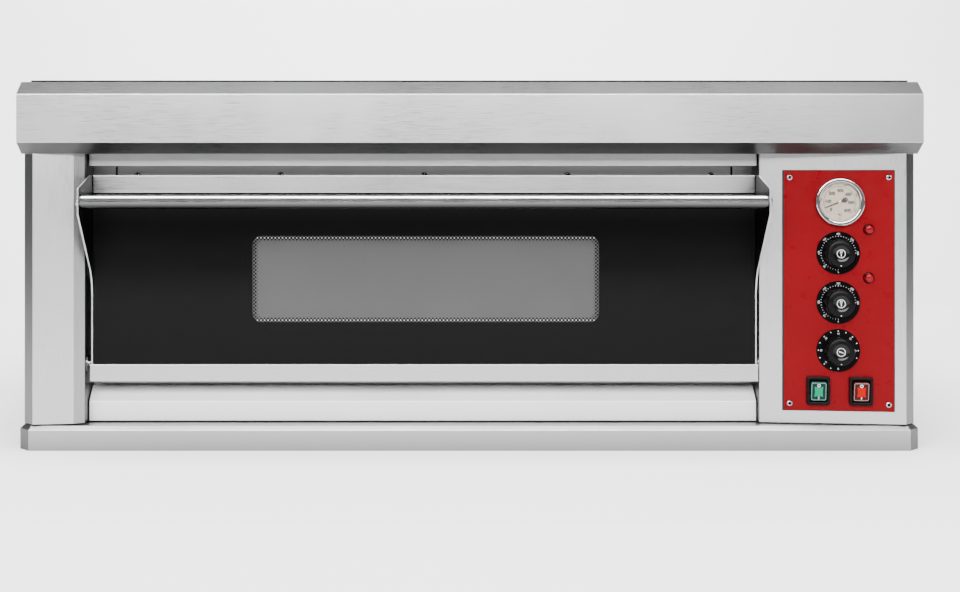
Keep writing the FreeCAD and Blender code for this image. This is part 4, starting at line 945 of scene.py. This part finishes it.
def make_switch_housing(name, joint_name):
    """Black framed housing with a rounded, stepped rim and a dark well."""
    spot = on_panel(joint_name, PLATE_THICK)
    outer = rounded_box(31 * MM, 38 * MM, 3.0 * MM)
    well = rounded_box(23.0 * MM, 30.0 * MM, 1.6 * MM)
    rim = curve_mesh("rim", [outer, well], 5 * MM, 0.9 * MM)
    sleeve = curve_mesh("sleeve", [rounded_box(25.8 * MM, 32.8 * MM, 1 * MM), well], HOUSING_DEEP)
    floor = curve_mesh("floor", [rounded_box(25.0 * MM, 32.0 * MM, 1 * MM)], 2 * MM)
    for mesh in (sleeve, floor):
        moved(mesh, shift(z=-HOUSING_DEEP))
    housing = merged(name, [rim, sleeve, floor], False)
    smooth(housing)
    finish_piece(name, housing, "oven_body", [BLACK_PLASTIC], spot, ["switch_housings"])


def make_rocker(name, joint_name, lit, shell_color, glint_color):
    """Tinted clear rocker with a pale ring at its rim, a painted highlight of the bevels, over a lit
    centre, and its on and off marks.
    """
    spot = on_panel(joint_name, PLATE_THICK + ROCKER_PIVOT) @ turn(ROCKER_TILT, "X")
    outer = rounded_box(21.8 * MM, 26.6 * MM, 2.6 * MM)
    shell = moved(curve_mesh("shell", [outer], 8.0 * MM, 1.5 * MM), shift(z=ROCKER_TOP - 8.0 * MM))
    smooth(shell, 60)
    finish_piece(f"{name}_shell", shell, name, [shell_color], spot, [name])
    # Pale ring just inside the rim: painted highlight of the bevelled edges.
    frame_line = [rounded_box(19.6 * MM, 24.4 * MM, 2.0 * MM), rounded_box(17.6 * MM, 22.4 * MM, 1.4 * MM)]
    line = moved(curve_mesh("line", frame_line, 0.5 * MM, 0.2 * MM), shift(z=ROCKER_TOP - 0.3 * MM))
    finish_piece(f"{name}_edge", line, name, [glint_color], spot)
    half = [(5.8, -7.4), (5.1, 0.0), (5.8, 7.0), (2.4, 6.0)]
    left_half = [(-x, y) for x, y in reversed(half)]
    notch = [(-2.0, -6.2), (-1.6, -7.8), (1.6, -7.8), (2.0, -6.2)]
    window = [(x * MM, y * MM) for x, y in half + left_half + notch]
    centre = moved(curve_mesh("centre", [window], 0.4 * MM, 0.1 * MM), shift(z=ROCKER_TOP - 0.2 * MM))
    finish_piece(f"{name}_lamp", centre, name, [lit], spot)
    off = moved(curve_mesh("off", [circle(2.3 * MM), circle(1.2 * MM)], 0.1 * MM), shift(y=8.4 * MM))
    on = moved(curve_mesh("on", [rounded_box(1.1 * MM, 3.6 * MM, 0.3 * MM)], 0.1 * MM), shift(y=-8.9 * MM))
    marks = moved(merged("marks", [off, on], False), shift(z=ROCKER_TOP + 0.22 * MM))
    finish_piece(f"{name}_marks", marks, name, [WHITE_INK], spot)


# ---------------------------------------------------------------- screws
def cross_recess_screw(radius, height):
    """Pan head with a cross recess cut into it, and a black disc on the recess floor as painted shade."""
    dome = [(radius * 0.97, 0.0), (radius, height * 0.25), (radius * 0.93, height * 0.62),
            (radius * 0.72, height * 0.88), (radius * 0.4, height), (0.02 * MM, height)]
    head = lathe("head", dome, 40)
    arm, width = radius * 0.66, radius * 0.27
    outline = [(arm, width), (width, width), (width, arm), (-width, arm), (-width, width), (-arm, width),
               (-arm, -width), (-width, -width), (-width, -arm), (width, -arm), (width, -width),
               (arm, -width)]
    tool = moved(curve_mesh("cross", [outline], height), shift(z=height * 0.3))
    # Black disc on the recess floor: painted shade in the recess.
    floor = moved(curve_mesh("recess_shade", [outline], 0.05 * MM), shift(z=height * 0.32))
    holders = []
    for mesh in (head, tool):
        holder = bpy.data.objects.new(mesh.name, mesh)
        bpy.context.scene.collection.objects.link(holder)
        holders.append(holder)
    cutter = holders[0].modifiers.new("recess", "BOOLEAN")
    cutter.operation = "DIFFERENCE"
    cutter.object = holders[1]
    cutter.solver = "EXACT"
    bpy.context.view_layer.update()
    graph = bpy.context.evaluated_depsgraph_get()
    result = bpy.data.meshes.new_from_object(holders[0].evaluated_get(graph))
    for holder in holders:
        bpy.data.objects.remove(holder)
    return merged("screw", [result, floor])


PLATE_SCREW_X = 65.5 * MM
PLATE_SCREW_Y = 153.5 * MM
PLATE_SCREW_RADIUS = 3.9 * MM


def make_screws():
    """Five header screws over the door, and one at each corner of the red plate."""
    low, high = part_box("header_screws")
    radius = (high.z - low.z) / 2
    heads = []
    for step in range(5):
        x = low.x + radius + (high.x - low.x - 2 * radius) * step / 4
        head = cross_recess_screw(radius, high.y - low.y)
        heads.append(moved(head, turn(17.0 * step), upright_plane(x, high.y, (low.z + high.z) / 2)))
    # Second material: painted shade on the recess floors, here and on the plate screws.
    finish_piece("header_screw_heads", merged("heads", heads, False), "oven_body",
                 [BRIGHT, NEEDLE_AND_SHADE_BLACK], replaced=["header_screws"])
    spread_x, spread_y, radius = PLATE_SCREW_X, PLATE_SCREW_Y, PLATE_SCREW_RADIUS
    heads = []
    for order, (across, up) in enumerate(((-1, -1), (-1, 1), (1, -1), (1, 1))):
        head = cross_recess_screw(radius, 2.2 * MM)
        place = PANEL @ shift(across * spread_x, up * spread_y, PLATE_THICK)
        heads.append(moved(head, turn(23.0 * order + 8.0), place))
    finish_piece("panel_screw_heads", merged("heads", heads, False), "oven_body",
                 [BRIGHT, NEEDLE_AND_SHADE_BLACK], replaced=["control_plate_screws"])


# ---------------------------------------------------------------- stage
def make_stage():
    """Pale floor that curves up into a backdrop."""
    mesh_maker = bmesh.new()
    depth, rise, radius, half = 3.2, 1.7, 1.0, 7.0
    path = [(-7.0, 0.0), (depth - radius, 0.0)]
    for step in range(1, 13):
        angle = math.pi / 2 * step / 12
        path.append((depth - radius + radius * math.sin(angle), radius - radius * math.cos(angle)))
    path.append((depth, rise))
    columns = [[mesh_maker.verts.new((x, y, z)) for y, z in path] for x in (-half, half)]
    for step in range(len(path) - 1):
        (left, right), (left_next, right_next) = [[column[index] for column in columns]
                                                  for index in (step, step + 1)]
        mesh_maker.faces.new((left, right, right_next, left_next))
    mesh = bpy.data.meshes.new("studio_sweep")
    mesh_maker.to_mesh(mesh)
    mesh_maker.free()
    smooth(mesh)
    mesh.materials.append(stage_paint("studio_paint", (0.84, 0.84, 0.84)))
    sweep = bpy.data.objects.new("studio_sweep", mesh)
    bpy.context.scene.collection.objects.link(sweep)


def area_light(name, place, target, size, power):
    light = bpy.data.lights.new(name, "AREA")
    light.shape = "RECTANGLE"
    light.size, light.size_y = size
    light.energy = power
    holder = bpy.data.objects.new(name, light)
    holder.location = place
    holder.rotation_euler = (Vector(target) - Vector(place)).to_track_quat("-Z", "Y").to_euler()
    bpy.context.scene.collection.objects.link(holder)


def make_sky():
    """Soft room light: bright around the horizon, dimmer overhead."""
    world = bpy.data.worlds.new("studio")
    world.use_nodes = True
    tree = world.node_tree
    way = tree.nodes.new("ShaderNodeTexCoord")
    split = tree.nodes.new("ShaderNodeSeparateXYZ")
    ramp = tree.nodes.new("ShaderNodeValToRGB")
    ramp.color_ramp.elements[0].position = 0.12
    ramp.color_ramp.elements[0].color = (0.95, 0.96, 0.98, 1.0)
    ramp.color_ramp.elements[1].position = 0.55
    ramp.color_ramp.elements[1].color = (0.16, 0.16, 0.17, 1.0)
    tree.links.new(way.outputs["Generated"], split.inputs["Vector"])
    tree.links.new(split.outputs["Z"], ramp.inputs["Fac"])
    background = tree.nodes["Background"]
    tree.links.new(ramp.outputs["Color"], background.inputs["Color"])
    background.inputs["Strength"].default_value = 0.3
    bpy.context.scene.world = world


def make_lights():
    make_sky()
    area_light("front_softbox", (-0.3, -3.3, 1.9), (0.0, -0.3, 0.3), (4.0, 1.4), 420.0)
    area_light("top_softbox", (0.0, -0.6, 2.6), (0.0, -0.3, 0.3), (2.6, 1.2), 190.0)
    area_light("right_fill", (3.0, -1.8, 1.3), (0.3, -0.3, 0.25), (1.4, 1.8), 15.0)
    area_light("backdrop_wash", (0.0, 1.3, 2.6), (0.0, 3.2, 0.7), (4.5, 0.8), 330.0)


CAMERA_X = -60 * MM
CAMERA_DISTANCE = 1820 * MM
CAMERA_HEIGHT = 364 * MM


def make_camera():
    camera = bpy.data.cameras.new("camera")
    camera.sensor_width = 36.0
    camera.lens = 51.2
    camera.shift_x = 0.0573
    camera.shift_y = -0.12
    camera.clip_start = 0.05
    holder = bpy.data.objects.new("camera", camera)
    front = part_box("front_hood")[0].y
    holder.location = (CAMERA_X, front - CAMERA_DISTANCE, CAMERA_HEIGHT)
    holder.rotation_euler = (math.pi / 2, 0.0, 0.0)
    bpy.context.scene.collection.objects.link(holder)
    bpy.context.scene.camera = holder


make_camera()
make_stage()
make_lights()
dress_nodes()
make_door_glass()
make_plate_shadow_rim()
make_gauge()
make_thermostat_scale("upper_scale", "upper_thermostat_turn")
make_thermostat_scale("lower_scale", "lower_thermostat_turn")
make_timer_scale("timer_scale", "timer_turn")
make_knob("upper_thermostat_knob", "upper_thermostat_turn", thermometer_sign())
make_knob("lower_thermostat_knob", "lower_thermostat_turn", thermometer_sign())
make_knob("timer_knob", "timer_turn", clock_sign())
make_pilots()
make_switch_housing("green_switch_housing", "green_rocker_tip")
make_switch_housing("red_switch_housing", "red_rocker_tip")
make_rocker("green_rocker", "green_rocker_tip", LIT_GREEN, SHELL_GREEN, GLINT_GREEN)
make_rocker("red_rocker", "red_rocker_tip", LIT_RED, SHELL_RED, GLINT_RED)
make_screws()
